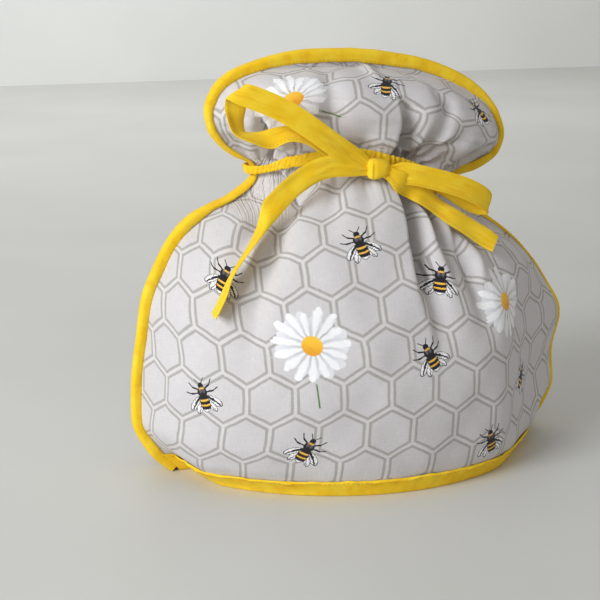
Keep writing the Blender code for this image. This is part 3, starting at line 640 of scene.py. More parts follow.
def drawn_in(points):
    """settle(), with the left of the neck pulled tight."""
    points = settle(points)
    levels = column(LEFT_NECK, LEFT_NECK_COLUMNS, "z")
    lower, inward = (
        np.interp(points[..., 2], levels, column(LEFT_NECK, LEFT_NECK_COLUMNS, name))
        for name in ("lower", "inward")
    )
    share = ease(*LEFT_NECK_FROM, points[..., 0])
    return points + np.stack([share * inward, np.zeros_like(share), -share * lower], -1)


def fine_surfaces(side, folds, creases, single, lift, eased, heights, places):
    """surfaces(), settled, with the small creases as well."""
    inner, outer, outward = (widened(grid) for grid in surfaces(side, folds, heights, places))
    along = widened(np.array([row(z, places)[2] for z in heights]))
    relief = fold_depth(creases, along, heights) + line_depth(single, along, heights)
    relief += ripple(along, heights) + dents(along, heights)
    relief *= (
        ease(0, 16, along[:, -1:] - np.abs(along))
        * ease(0, 14, heights)[:, None]
        * ease(TOP - 2, TOP - 12, heights)[:, None]
    )
    inner = inner - outward * relief[..., None] + lift
    outer = outer - outward * relief[..., None] + lift
    return drawn_in(inner) + eased, drawn_in(outer) + eased


# ---------------------------------------------------------------------------------------------------------
# Meshes


def cloth_object(name, vertices, faces, cloth_at, materials, piece_of=None, smooth_angle=60):
    """A closed mesh in metres with the cloth's own coordinates, in millimetres, as its UV map."""
    vertices = np.asarray(vertices, float)
    first = vertices[[face[0] for face in faces]]
    second = vertices[[face[1] for face in faces]]
    third = vertices[[face[2] for face in faces]]
    if np.einsum("ij,ij->", first, np.cross(second, third)) < 0:
        faces = [face[::-1] for face in faces]
    mesh = bpy.data.meshes.new(name)
    mesh.from_pydata((vertices * MM).tolist(), [], faces)
    index = np.empty(len(mesh.loops), np.int32)
    mesh.loops.foreach_get("vertex_index", index)
    layer = mesh.uv_layers.new(name="cloth")
    layer.data.foreach_set("uv", np.asarray(cloth_at, np.float32)[index].ravel())
    for material in materials:
        mesh.materials.append(material)
    if piece_of is not None:
        mesh.polygons.foreach_set("material_index", np.asarray(piece_of, np.int32))
    mesh.shade_smooth()
    mesh.set_sharp_from_angle(angle=math.radians(smooth_angle))
    obj = bpy.data.objects.new(name, mesh)
    bpy.context.scene.collection.objects.link(obj)
    return obj


def grid_faces(rows, columns, start=0, turn=False):
    i, j = np.meshgrid(np.arange(rows - 1), np.arange(columns - 1), indexing="ij")
    a = (start + i * columns + j).ravel()
    quads = np.stack([a, a + 1, a + columns + 1, a + columns], -1)
    return [tuple(q) for q in (quads[:, ::-1] if turn else quads).tolist()]


def make_panel(name, side, folds, creases, single, columns, printed, lining):
    """One padded panel: printed cotton outside, plain cotton inside."""
    steps = np.linspace(0, len(ROWS) - 1, (len(ROWS) - 1) * ROW_STEPS + 1)
    heights = through(np.arange(len(ROWS)), np.array(ROWS, float), steps)
    places = np.linspace(-1, 1, columns)
    lift = seam_lift(side, heights, places)
    eased = eased_right(side, lift, heights, places)
    inner, outer = fine_surfaces(side, folds, creases, single, lift, eased, heights, places)
    u, v = cloth_position(side, folds, lift, eased, heights, places)
    rows, across = u.shape
    faces = grid_faces(rows, across)
    outside = len(faces)
    faces += grid_faces(rows, across, rows * across, turn=True)
    rim = [i * across for i in range(rows)]
    rim += [(rows - 1) * across + j for j in range(1, across)]
    rim += [i * across + across - 1 for i in range(rows - 2, -1, -1)]
    rim += [j for j in range(across - 2, 0, -1)]
    under = rows * across
    for a, b in zip(rim, rim[1:] + rim[:1]):
        faces.append((a, b, b + under, a + under))
    cloth_at = np.stack([u, v], -1).reshape(-1, 2)
    cloth_at = np.concatenate([cloth_at, cloth_at])
    vertices = np.concatenate([outer.reshape(-1, 3), inner.reshape(-1, 3)])
    piece_of = [0] * outside + [1] * (len(faces) - outside)
    return cloth_object(name, vertices, faces, cloth_at, [printed, lining], piece_of)


def swept(sections, closed):
    """Vertices, faces and cloth coordinates of a section carried along a path: stations by corners by xyz."""
    sections = np.asarray(sections, float)
    stations, corners = sections.shape[:2]
    vertices = sections.reshape(-1, 3)
    faces = []
    for i in range(stations if closed else stations - 1):
        a, b = i * corners, (i + 1) % stations * corners
        for k in range(corners):
            n = (k + 1) % corners
            faces.append((a + k, a + n, b + n, b + k))
    if not closed:
        faces.append(tuple(range(corners))[::-1])
        faces.append(tuple((stations - 1) * corners + k for k in range(corners)))
    middle = sections.mean(axis=1)
    along = np.concatenate([[0], np.cumsum(np.linalg.norm(np.diff(middle, axis=0), axis=-1))])
    around = np.linalg.norm(np.diff(sections, axis=1), axis=-1)
    around = np.concatenate([np.zeros((stations, 1)), np.cumsum(around, axis=1)], axis=1)
    cloth_at = np.stack([np.repeat(along[:, None], corners, 1), around], -1).reshape(-1, 2)
    return vertices, faces, cloth_at


def wander(x, *waves):
    """Sum of sines: (length, height, start) for each."""
    return sum(height * np.sin(2 * np.pi * x / length + start) for length, height, start in waves)


def edge_path(step):
    """The panels' edge from left foot over the top to right foot, evenly spaced, and its inward side."""
    heights = np.concatenate([np.linspace(GAP, 236, 700), np.linspace(236.1, TOP, 300)])
    x = profile("tip", heights) - TRIM
    left = np.stack([-x, heights], -1)
    path = np.concatenate([left, np.stack([x, heights], -1)[::-1]])
    length = np.concatenate([[0], np.cumsum(np.linalg.norm(np.diff(path, axis=0), axis=-1))])
    want = np.linspace(0, length[-1], int(length[-1] / step))
    path = np.stack([np.interp(want, length, path[:, k]) for k in (0, 1)], -1)
    along = np.gradient(path, axis=0)
    for _ in range(3):
        along[1:-1] = (along[:-2] + 2 * along[1:-1] + along[2:]) / 4
    along /= np.linalg.norm(along, axis=-1, keepdims=True)
    return want, path, np.stack([along[:, 1], -along[:, 0]], -1)


# How far the binding's front reaches in from the edge. The cloth swells over it beside the neck and on
# the right.
EDGE_REACH_COLUMNS = ("z", "left", "right")
EDGE_REACH = (
    (0, 5.2, 4.0),
    (30, 5.0, 3.2),
    (58, 4.9, 3.0),
    (76, 4.8, 5.0),
    (90, 4.7, 4.0),
    (104, 4.6, 1.4),
    (124, 4.5, 0.9),
    (146, 4.3, 0.9),
    (158, 3.2, 1.6),
    (168, 1.6, 3.4),
    (182, 1.6, 4.6),
    (194, 2.6, 3.9),
    (208, 3.6, 2.7),
    (224, 4.4, 3.6),
    (238, 5.8, 5.6),
    (TOP, 6.9, 6.9),
)


def make_edge_binding(tape):
    """Tape folded over both panels' edges, its fold a little puffed."""
    want, path, inward = edge_path(1.6)
    levels = column(EDGE_REACH, EDGE_REACH_COLUMNS, "z")
    left, right = (
        through(levels, column(EDGE_REACH, EDGE_REACH_COLUMNS, name), path[:, 1])
        for name in ("left", "right")
    )
    reach = np.where(path[:, 0] < 0, left, right)
    reach = reach + wander(want, (47, 0.22, 0.4), (19, 0.16, 2.0), (8.3, 0.1, 1.0))
    puff = 0.22 * (1 + wander(want, (31, 0.4, 1.1), (12.7, 0.35, 0.2), (5.9, 0.2, 3.0)))
    sections, front_line, back_line = [], [], []
    for (x, z), (to_x, to_z), near, puffed in zip(path, inward, reach, puff):
        bed = float(parting(np.array(z))) + SEAM_CLOTH + LOOSE * 0.7
        face = bed + TAPE

        def half(wide):
            return [
                (wide, bed + 0.15),
                (wide - 0.25, bed + 0.7),
                (wide - 0.8, face),
                (wide * 0.66, face + puffed),
                (wide * 0.3, face + 1.5 * puffed),
                (0.0, face + puffed),
            ]

        far = BOUND + 0.2
        turns = np.linspace(-1.25, 1.25, 9)
        nose = [(-(TRIM - 0.1) * math.cos(a), (face + puffed * 0.3) * math.sin(a)) for a in turns]
        section = [(u, -y) for u, y in half(near)] + nose + half(far)[::-1]
        section += [(far - 0.2, bed), (0.2, bed), (0.2, -bed), (near - 0.2, -bed)]
        sections.append([(x + u * to_x, y, z + u * to_z) for u, y in section])
        front_line.append((x + (near - 1.3) * to_x, -(face + puffed * 0.4), z + (near - 1.3) * to_z))
        back_line.append((x + (far - 1.5) * to_x, face + puffed * 0.6, z + (far - 1.5) * to_z))
    sections = drawn_in(np.array(sections))
    sections[..., 2] = np.maximum(sections[..., 2], 0.0)
    vertices, faces, cloth_at = swept(sections, closed=False)
    obj = cloth_object("edge_binding_tape", vertices, faces, cloth_at, [tape])
    return obj, drawn_in(np.array(front_line)), drawn_in(np.array(back_line))


def make_hem_binding(name, side, folds, columns, tape):
    """Tape folded over one panel's lower edge, flat where it stands."""
    heights = np.array([LIFT, 5.0, 8.0, HEM_BOUND])
    places = np.linspace(-1, 1, columns)
    low = surfaces(side, folds, ROWS[:3], places)

    def reaching(line, near=0.45):
        """A line of the cloth with its ends drawn out as far as the edge binding."""
        ends = (line[0] * (1 - near) + line[1] * near, line[-1] * (1 - near) + line[-2] * near)
        return np.concatenate([ends[:1], line[1:-1], ends[1:]])

    share = (heights - ROWS[0]) / (ROWS[1] - ROWS[0])
    outer = [reaching(low[1][0] * (1 - s) + low[1][1] * s) for s in share]
    inner = [reaching(low[0][0] * (1 - s) + low[0][1] * s) for s in share]
    away = reaching(low[2][0], 1.0)
    run = np.concatenate([[0], np.cumsum(np.linalg.norm(np.diff(outer[0], axis=0), axis=-1))])
    puff = (0.25 * (1 + wander(run, (37, 0.5, 1.0), (14.3, 0.4, 2.0), (6.1, 0.25, 0.3))))[:, None]
    rise = np.zeros_like(outer[0])
    rise[:, 2] = wander(run, (53, 0.3, 0.2), (21, 0.25, 1.9), (9.4, 0.16, 0.7))
    gape = np.maximum(wander(run, (11.3, 0.5, 0.3), (17.9, 0.45, 1.3), (29, 0.3, 2.2)), 0)[:, None]

    def at(points, offset, height=None):
        moved = points + away * offset
        if height is not None:
            moved[:, 2] = height
        return moved

    face = LOOSE + TAPE
    section = [
        at(outer[3], LOOSE + 0.15) + rise,
        at(outer[3], LOOSE + 0.7 + gape) + rise + (0, 0, -0.2),
        at(outer[3], face + gape) + rise + (0, 0, -0.7),
        at(outer[2], face + puff),
        at(outer[1], face + 1.4 * puff),
        at(outer[0], face + puff),
        at(outer[0], face - 0.1, 0.55),
        at(outer[0], face - 0.6, 0.08),
        at(outer[0], face - 1.3, 0.0),
        at(inner[0], 0.5 - face, 0.0),
        at(inner[0], -face - 0.1, 0.5),
        at(inner[0], -face - 0.3),
        at(inner[3], -face),
        at(inner[3], -LOOSE),
        at(inner[0], -LOOSE - 0.5, LIFT - LOOSE),
        at(outer[0], LOOSE, LIFT - LOOSE),
        at(outer[3], LOOSE),
    ]
    sections = settle(np.stack(section, axis=1))
    line = settle(at(outer[3], face + 0.2) + rise + (0, 0, -1.4))
    vertices, faces, cloth_at = swept(sections, closed=False)
    return cloth_object(name, vertices, faces, cloth_at, [tape]), line


def convex_outline(points):
    """Convex outline of points in the XY plane, anticlockwise."""
    ordered = sorted(map(tuple, points))

    def half(sequence):
        chain = []
        for point in sequence:
            while len(chain) > 1:
                (ax, ay), (bx, by) = chain[-2], chain[-1]
                if (bx - ax) * (point[1] - ay) - (by - ay) * (point[0] - ax) > 0:
                    break
                chain.pop()
            chain.append(point)
        return chain[:-1]

    return np.array(half(ordered) + half(ordered[::-1]))


def neck_path(stations):
    """Where a tape drawn round the neck lies: the outline of the gathered cloth, bridging its hollows."""
    around = []
    heights = np.linspace(NECK - 3.5, NECK + 8.5, 7)
    for side, folds in ((-1, FRONT_FOLDS), (1, BACK_FOLDS)):
        outer = surfaces(side, folds, heights, np.linspace(-1, 1, 60))[1]
        around.append(outer[:, 1:-1, :2].reshape(-1, 2))
    tip = float(profile("tip", heights[:5]).max())
    face = SEAM_PART + SEAM_CLOTH + GAP + TAPE
    around.append(np.array([(sx * tip, sy * face) for sx in (-1, 1) for sy in (-1, 1)]))
    corner = convex_outline(np.concatenate(around))
    corner = np.concatenate([corner, corner[:1]])
    length = np.concatenate([[0], np.cumsum(np.linalg.norm(np.diff(corner, axis=0), axis=1))])
    want = np.linspace(0, length[-1], stations, endpoint=False)
    path = np.stack([np.interp(want, length, corner[:, k]) for k in (0, 1)], -1)
    for _ in range(12):
        path = (np.roll(path, 1, 0) + 2 * path + np.roll(path, -1, 0)) / 4
    along = np.roll(path, -1, 0) - np.roll(path, 1, 0)
    outward = np.stack([along[:, 1], -along[:, 0]], -1)
    return want, path, outward / np.linalg.norm(outward, axis=-1, keepdims=True)


BAND_SEAM_Z = NECK + 2.0
BAND_CLEAR = 1.2

# How much higher or lower the band runs in front, along x.
BAND_LIFT = (
    (-76, -4.0),
    (-66, -2.6),
    (-55, 0.8),
    (-44, 3.2),
    (-34, 4.6),
    (-22, 5.0),
    (-8, 3.0),
    (6, 0.6),
    (30, 0.0),
    (76, 0.0),
)


def crinkle(s, up):
    """Uneven puckers of gathered tape, about -1 to 1."""
    wave = 0.55 * math.sin(s / 0.74 + 1.3 * up + 2.3 * math.sin(s / 7.1))
    wave += 0.40 * math.sin(s / 0.43 - 1.9 * up + 1.9 * math.sin(s / 5.3 + 1))
    wave += 0.35 * math.sin(s / 1.31 + 2.7 * up + 1.2 * math.sin(s / 9.7))
    return wave * (0.75 + 0.3 * math.sin(s / 10.3))


def make_neck_band(tape):
    """Ruched band: crinkled unevenly, with puckered edges."""
    want, path, outward = neck_path(640)
    height = BAND_SEAM_Z + arch(path[:, 0], np.full(len(path), BAND_SEAM_Z))
    height += np.interp(path[:, 0], *np.array(BAND_LIFT).T) * ease(26, -2, path[:, 1])
    sections = []
    for (x, y), (to_x, to_y), z, t in zip(path, outward, height, want):
        section = []
        slim = 1 + ease(30, 10, y) * (0.16 * math.exp(-(((x + 34) / 12) ** 2)) - 0.16 * ease(-46, -62, x))
        top, foot = (slim * (BAND_WIDTH / 2 - 0.1 + 0.4 * crinkle(t + shift, 0)) for shift in (0, 40))
        for up in (-1, -0.88, -0.68, -0.45, -0.22, 0, 0.22, 0.45, 0.68, 0.88, 1):
            crown = BAND_CLEAR + 0.4 + 1.05 * math.sqrt(max(1 - up**4, 0))
            crown += 0.62 * crinkle(t, up) * (1 - 0.3 * up * up)
            section.append((x + crown * to_x, y + crown * to_y, z + (top if up > 0 else foot) * up))
        for up in (0.9, 0, -0.9):
            section.append((x + BAND_CLEAR * to_x, y + BAND_CLEAR * to_y, z + (top if up > 0 else foot) * up))
        sections.append(section)
    vertices, faces, cloth_at = swept(drawn_in(np.array(sections)), closed=True)
    return cloth_object("neck_band_ruched", vertices, faces, cloth_at, [tape])


# The rear strand of the right loop, whose lower edge is drawn up in the middle.
LOOP_RISE = 4.2
LOOP_PLACE = (36, 15)  # middle and reach along x
LOOP_BEHIND = -43.6  # y behind which the tape is the rear strand


def tape_run(run, steps=7, corners=13):
    """Sections of one run of the tie: a flat folded tape with soft edges, gathered at the knot."""
    edges = np.array(TIE[run], float).reshape(-1, 2, 3)
    middle = edges.mean(axis=1)
    length = np.concatenate([[0], np.cumsum(np.linalg.norm(np.diff(middle, axis=0), axis=1))])
    stations = np.linspace(0, len(length) - 1, (len(length) - 1) * steps + 1)
    stops = np.interp(stations, np.arange(len(length)), length)
    upper, lower = [np.stack([through(length, edges[:, e, k], stops) for k in range(3)], -1) for e in (0, 1)]
    for points in (upper, lower):
        for _ in range(steps):
            points[1:-1] = (points[:-2] + 2 * points[1:-1] + points[2:]) / 4
    if run == "right_loop":
        lower[:, 2] += LOOP_RISE * swell(*LOOP_PLACE, lower[:, 0]) * (lower[:, 1] > LOOP_BEHIND)
    along = np.gradient((upper + lower) / 2, axis=0)
    across = upper - lower
    away = np.cross(along, across)
    away /= np.linalg.norm(away, axis=-1, keepdims=True)
    ends = (stops[-1] - stops) if run.endswith("loop") else np.full_like(stops, 1e3)
    gathered = np.exp(-stops / 13) + np.exp(-ends / 13)
    lifts = np.linspace(0, 1, corners)
    sections, seam = [], []
    for top, foot, out, at, near in zip(upper, lower, away, stops, gathered):
        ring = []
        for side in (1, -1):
            for share in lifts if side > 0 else lifts[::-1]:
                edge = min(share, 1 - share)
                thick = TIE_THICK / 2 * math.sqrt(min(1, edge / 0.05 + 0.12))
                crease = 0.3 * math.sin(2 * math.pi * share)
                crease += near * 0.85 * math.sin(2.6 * 2 * math.pi * share + 0.7 + at / 30)
                crease += 0.2 * math.sin(at / 9.5 + 3 * share) + 0.12 * math.sin(at / 5.3 - 6 * share + 1)
                ring.append(top * (1 - share) + foot * share + out * (side * thick + crease))
        sections.append(ring)
        proud = TIE_THICK / 2 + 0.12 * math.sin(2 * math.pi * 0.9) + 0.05
        seam.append(top * 0.1 + foot * 0.9 + out * proud)
    return np.array(sections), np.array(seam)


def knot_sections():
    """Rings of the knot from bottom to top: a wrap of tape, creased up its front."""
    rings, around = 40, 76
    tilt = np.linspace(-np.pi / 2 + 0.02, np.pi / 2 - 0.02, rings)
    angle = np.linspace(0, 2 * np.pi, around, endpoint=False)

    def soft(value, power):
        return np.sign(value) * np.abs(value) ** power

    sections = []
    for t in tilt:
        level = soft(np.cos(t), 0.5)
        x = level * soft(np.cos(angle), 0.62)
        y = level * soft(np.sin(angle), 0.62)
        z = np.full_like(x, soft(np.sin(t), 0.6))
        z = z * (0.86 - 0.22 * ease(-0.6, 1.0, x)) + 0.05 * x
        front = np.clip(-np.sin(angle), 0, 1)
        roll = 0.16 * np.exp(-(((x + 0.80) / 0.13) ** 2)) - 0.07 * np.exp(-(((x + 0.56) / 0.09) ** 2))
        fan = 0.055 * np.sin(7.5 * z / (1.25 - 0.5 * x) + 0.6) * ease(-0.3, 0.8, x)
        y = y * (1 + front * (roll + fan)) - 0.10 * front * level * (1 - x**2)
        sections.append(np.stack([x, y, z], -1) * KNOT_HALF + KNOT)
    return np.array(sections)


def make_tie(tape):
    """The bow: knot, two loops and two tails in one piece."""
    vertices, faces, cloth_at, seams = [], [], [], []
    count = 0
    bodies = [(run, *tape_run(run)) for run in ("left_loop", "right_loop", "right_tail", "left_tail")]
    bodies.append(("knot", knot_sections(), None))
    for run, sections, seam in bodies:
        points, quads, places = swept(sections, closed=False)
        first, second, third = (points[[q[k] for q in quads]] - points.mean(axis=0) for k in range(3))
        if np.einsum("ij,ij->", first, np.cross(second, third)) < 0:
            quads = [q[::-1] for q in quads]
        vertices.append(points)
        faces += [tuple(k + count for k in q) for q in quads]
        cloth_at.append(places)
        count += len(points)
        if seam is not None:
            seams.append(seam)
    return cloth_object("bow_tape", np.concatenate(vertices), faces, np.concatenate(cloth_at), [tape]), seams


# ---------------------------------------------------------------------------------------------------------
# Stitches


def stitch_tree(thread):
    """Geometry Nodes: a line of stitches, each a short soft-ended dash of thread, along every path."""
    tree = bpy.data.node_groups.new("stitches", "GeometryNodeTree")
    face = tree.interface
    face.new_socket("Paths", in_out="INPUT", socket_type="NodeSocketGeometry")
    for name, default in (("Pitch", 2.6 * MM), ("Dash", 1.7 * MM), ("Thread", 0.28 * MM)):
        socket = face.new_socket(name, in_out="INPUT", socket_type="NodeSocketFloat")
        socket.default_value = default
    face.new_socket("Stitches", in_out="OUTPUT", socket_type="NodeSocketGeometry")
    new, link = tree.nodes.new, tree.links.new
    entry, leave = new("NodeGroupInput"), new("NodeGroupOutput")
    curve = new("GeometryNodeMeshToCurve")
    even = new("GeometryNodeResampleCurve")
    even.mode = "LENGTH"
    tangent = new("GeometryNodeInputTangent")
    turn = new("FunctionNodeAlignEulerToVector")
    turn.axis = "Z"
    dash = new("GeometryNodeMeshUVSphere")
    dash.inputs["Segments"].default_value = 6
    dash.inputs["Rings"].default_value = 4
    dash.inputs["Radius"].default_value = 1.0
    half = new("ShaderNodeMath")
    half.operation = "MULTIPLY"
    half.inputs[1].default_value = 0.5
    size = new("ShaderNodeCombineXYZ")
    place = new("GeometryNodeInstanceOnPoints")
    real = new("GeometryNodeRealizeInstances")
    paint = new("GeometryNodeSetMaterial")
    paint.inputs["Material"].default_value = thread
    link(entry.outputs["Paths"], curve.inputs["Mesh"])
    link(curve.outputs["Curve"], even.inputs["Curve"])
    link(entry.outputs["Pitch"], even.inputs["Length"])
    link(tangent.outputs["Tangent"], turn.inputs["Vector"])
    link(entry.outputs["Dash"], half.inputs[0])
    link(entry.outputs["Thread"], size.inputs["X"])
    link(entry.outputs["Thread"], size.inputs["Y"])
    link(half.outputs[0], size.inputs["Z"])
    link(even.outputs["Curve"], place.inputs["Points"])
    link(dash.outputs["Mesh"], place.inputs["Instance"])
    link(turn.outputs["Rotation"], place.inputs["Rotation"])
    link(size.outputs["Vector"], place.inputs["Scale"])
    link(place.outputs["Instances"], real.inputs["Geometry"])
    link(real.outputs["Geometry"], paint.inputs["Geometry"])
    link(paint.outputs["Geometry"], leave.inputs["Stitches"])
    return tree


def make_stitches(name, paths, thread, pitch, dash, width):
    """Plain mesh of all the stitches along some paths, in millimetres."""
    vertices, edges = [], []
    for path in paths:
        start = len(vertices)
        vertices += (np.asarray(path) * MM).tolist()
        edges += [(start + i, start + i + 1) for i in range(len(path) - 1)]
    lines = bpy.data.meshes.new(name + "_paths")
    lines.from_pydata(vertices, edges, [])
    guide = bpy.data.objects.new(name + "_paths", lines)
    bpy.context.scene.collection.objects.link(guide)
    tree = stitch_tree(thread)
    sewing = guide.modifiers.new("stitches", "NODES")
    sewing.node_group = tree
    for socket in tree.interface.items_tree:
        if socket.in_out == "INPUT" and socket.name in ("Pitch", "Dash", "Thread"):
            sewing[socket.identifier] = {"Pitch": pitch, "Dash": dash, "Thread": width}[socket.name] * MM
    bpy.context.view_layer.update()
    mesh = bpy.data.meshes.new_from_object(guide.evaluated_get(bpy.context.evaluated_depsgraph_get()))
    mesh.name = name
    bpy.data.objects.remove(guide)
    mesh.shade_smooth()
    obj = bpy.data.objects.new(name, mesh)
    bpy.context.scene.collection.objects.link(obj)
    return obj


# ---------------------------------------------------------------------------------------------------------
# Materials


class Wire:
    """A number in a material, so that a shape can be written as a sum."""

    def __init__(self, tree, socket):
        self.tree, self.socket = tree, socket

    def math(self, operation, *others, clamp=False):
        node = self.tree.nodes.new("ShaderNodeMath")
        node.operation = operation
        node.use_clamp = clamp
        for socket, value in zip(node.inputs, (self, *others)):
            if isinstance(value, Wire):
                self.tree.links.new(value.socket, socket)
            else:
                socket.default_value = value
        return Wire(self.tree, node.outputs[0])

    def __add__(self, other):
        return self.math("ADD", other)

    def __radd__(self, other):
        return self.math("ADD", other)

    def __sub__(self, other):
        return self.math("SUBTRACT", other)

    def __rsub__(self, other):
        return (self * -1).math("ADD", other)

    def __mul__(self, other):
        return self.math("MULTIPLY", other)

    def __rmul__(self, other):
        return self.math("MULTIPLY", other)

    def __truediv__(self, other):
        return self.math("DIVIDE", other)

    def __abs__(self):
        return self.math("ABSOLUTE")

    def least(self, other):
        return self.math("MINIMUM", other)

    def most(self, other):
        return self.math("MAXIMUM", other)

    def sin(self):
        return self.math("SINE")

    def root(self):
        return self.most(0.0).math("SQRT")

    def step(self, start, end):
        """0 at start, 1 at end, smooth between."""
        node = self.tree.nodes.new("ShaderNodeMapRange")
        node.interpolation_type = "SMOOTHSTEP"
        self.tree.links.new(self.socket, node.inputs["Value"])
        node.inputs["From Min"].default_value = start
        node.inputs["From Max"].default_value = end
        return Wire(self.tree, node.outputs["Result"])

    def inside(self, soft=0.16):
        """1 where this distance is below 0, 0 where it is above."""
        return 1 - self.step(-soft, soft)


class Place:
    """A point in a material."""

    def __init__(self, tree, socket):
        self.tree, self.socket = tree, socket

    def do(self, operation, *others, number=False):
        node = self.tree.nodes.new("ShaderNodeVectorMath")
        node.operation = operation
        for socket, value in zip(node.inputs, (self, *others)):
            if isinstance(value, Place):
                self.tree.links.new(value.socket, socket)
            else:
                socket.default_value = value
        return Wire(self.tree, node.outputs["Value"]) if number else Place(self.tree, node.outputs["Vector"])

    def scaled(self, by):
        node = self.tree.nodes.new("ShaderNodeVectorMath")
        node.operation = "SCALE"
        self.tree.links.new(self.socket, node.inputs[0])
        if isinstance(by, Wire):
            self.tree.links.new(by.socket, node.inputs["Scale"])
        else:
            node.inputs["Scale"].default_value = by
        return Place(self.tree, node.outputs["Vector"])

    def length(self):
        return self.do("LENGTH", number=True)

    def parts(self):
        node = self.tree.nodes.new("ShaderNodeSeparateXYZ")
        self.tree.links.new(self.socket, node.inputs[0])
        return [Wire(self.tree, node.outputs[k]) for k in range(3)]

    def noise(self, scale, detail=2.0, rough=0.5):
        node = self.tree.nodes.new("ShaderNodeTexNoise")
        node.inputs["Scale"].default_value = scale
        node.inputs["Detail"].default_value = detail
        node.inputs["Roughness"].default_value = rough
        self.tree.links.new(self.socket, node.inputs["Vector"])
        return Wire(self.tree, node.outputs["Fac"])

    def stroke(self, ax, ay, bx, by, half):
        """Distance to a short line from a to b of that half width."""
        long = math.hypot(bx - ax, by - ay)
        way = ((bx - ax) / long, (by - ay) / long, 0.0)
        off = self.do("SUBTRACT", (ax, ay, 0.0))
        along = off.do("DOT_PRODUCT", way, number=True).most(0.0).least(long)
        foot = combine(self.tree, *[along * w for w in way[:2]])
        return off.do("SUBTRACT", foot).length() - half

    def oval(self, cx, cy, rx, ry, turn=0.0):
        """Distance to an oval turned anticlockwise, in degrees."""
        spot = self.do("SUBTRACT", (cx, cy, 0.0))
        if turn:
            node = self.tree.nodes.new("ShaderNodeVectorRotate")
            node.rotation_type = "Z_AXIS"
            node.inputs["Angle"].default_value = -math.radians(turn)
            self.tree.links.new(spot.socket, node.inputs["Vector"])
            spot = Place(self.tree, node.outputs["Vector"])
        return (spot.do("MULTIPLY", (1 / rx, 1 / ry, 0.0)).length() - 1) * min(rx, ry)


def combine(tree, x=0.0, y=0.0, z=0.0):
    node = tree.nodes.new("ShaderNodeCombineXYZ")
    for socket, value in zip(node.inputs, (x, y, z)):
        if isinstance(value, Wire):
            tree.links.new(value.socket, socket)
        else:
            socket.default_value = value
    return Place(tree, node.outputs[0])


def blend(tree, share, below, above):
    """One colour over another. share is a Wire or a number."""
    node = tree.nodes.new("ShaderNodeMix")
    node.data_type = "RGBA"
    for socket, value in ((node.inputs[0], share), (node.inputs[6], below), (node.inputs[7], above)):
        if isinstance(value, (tuple, float)):
            socket.default_value = (*value, 1.0) if isinstance(value, tuple) else value
        else:
            tree.links.new(value.socket if isinstance(value, Wire) else value, socket)
    return node.outputs[2]


INK = (0.012, 0.011, 0.014)
HONEY = (0.86, 0.56, 0.09)
AMBER = (0.80, 0.34, 0.02)
WING = (0.86, 0.85, 0.87)
PETAL = (0.86, 0.86, 0.88)
PETAL_SHADE = (0.50, 0.51, 0.56)
LEAF = (0.09, 0.20, 0.03)


def motif_tree(name):
    """A node group that takes a place in millimetres and gives a colour and how much it covers."""
    tree = bpy.data.node_groups.new(name, "ShaderNodeTree")
    tree.interface.new_socket("Place", in_out="INPUT", socket_type="NodeSocketVector")
    tree.interface.new_socket("Colour", in_out="OUTPUT", socket_type="NodeSocketColor")
    tree.interface.new_socket("Cover", in_out="OUTPUT", socket_type="NodeSocketFloat")
    entry = tree.nodes.new("NodeGroupInput")
    leave = tree.nodes.new("NodeGroupOutput")
    return tree, Place(tree, entry.outputs["Place"]), leave


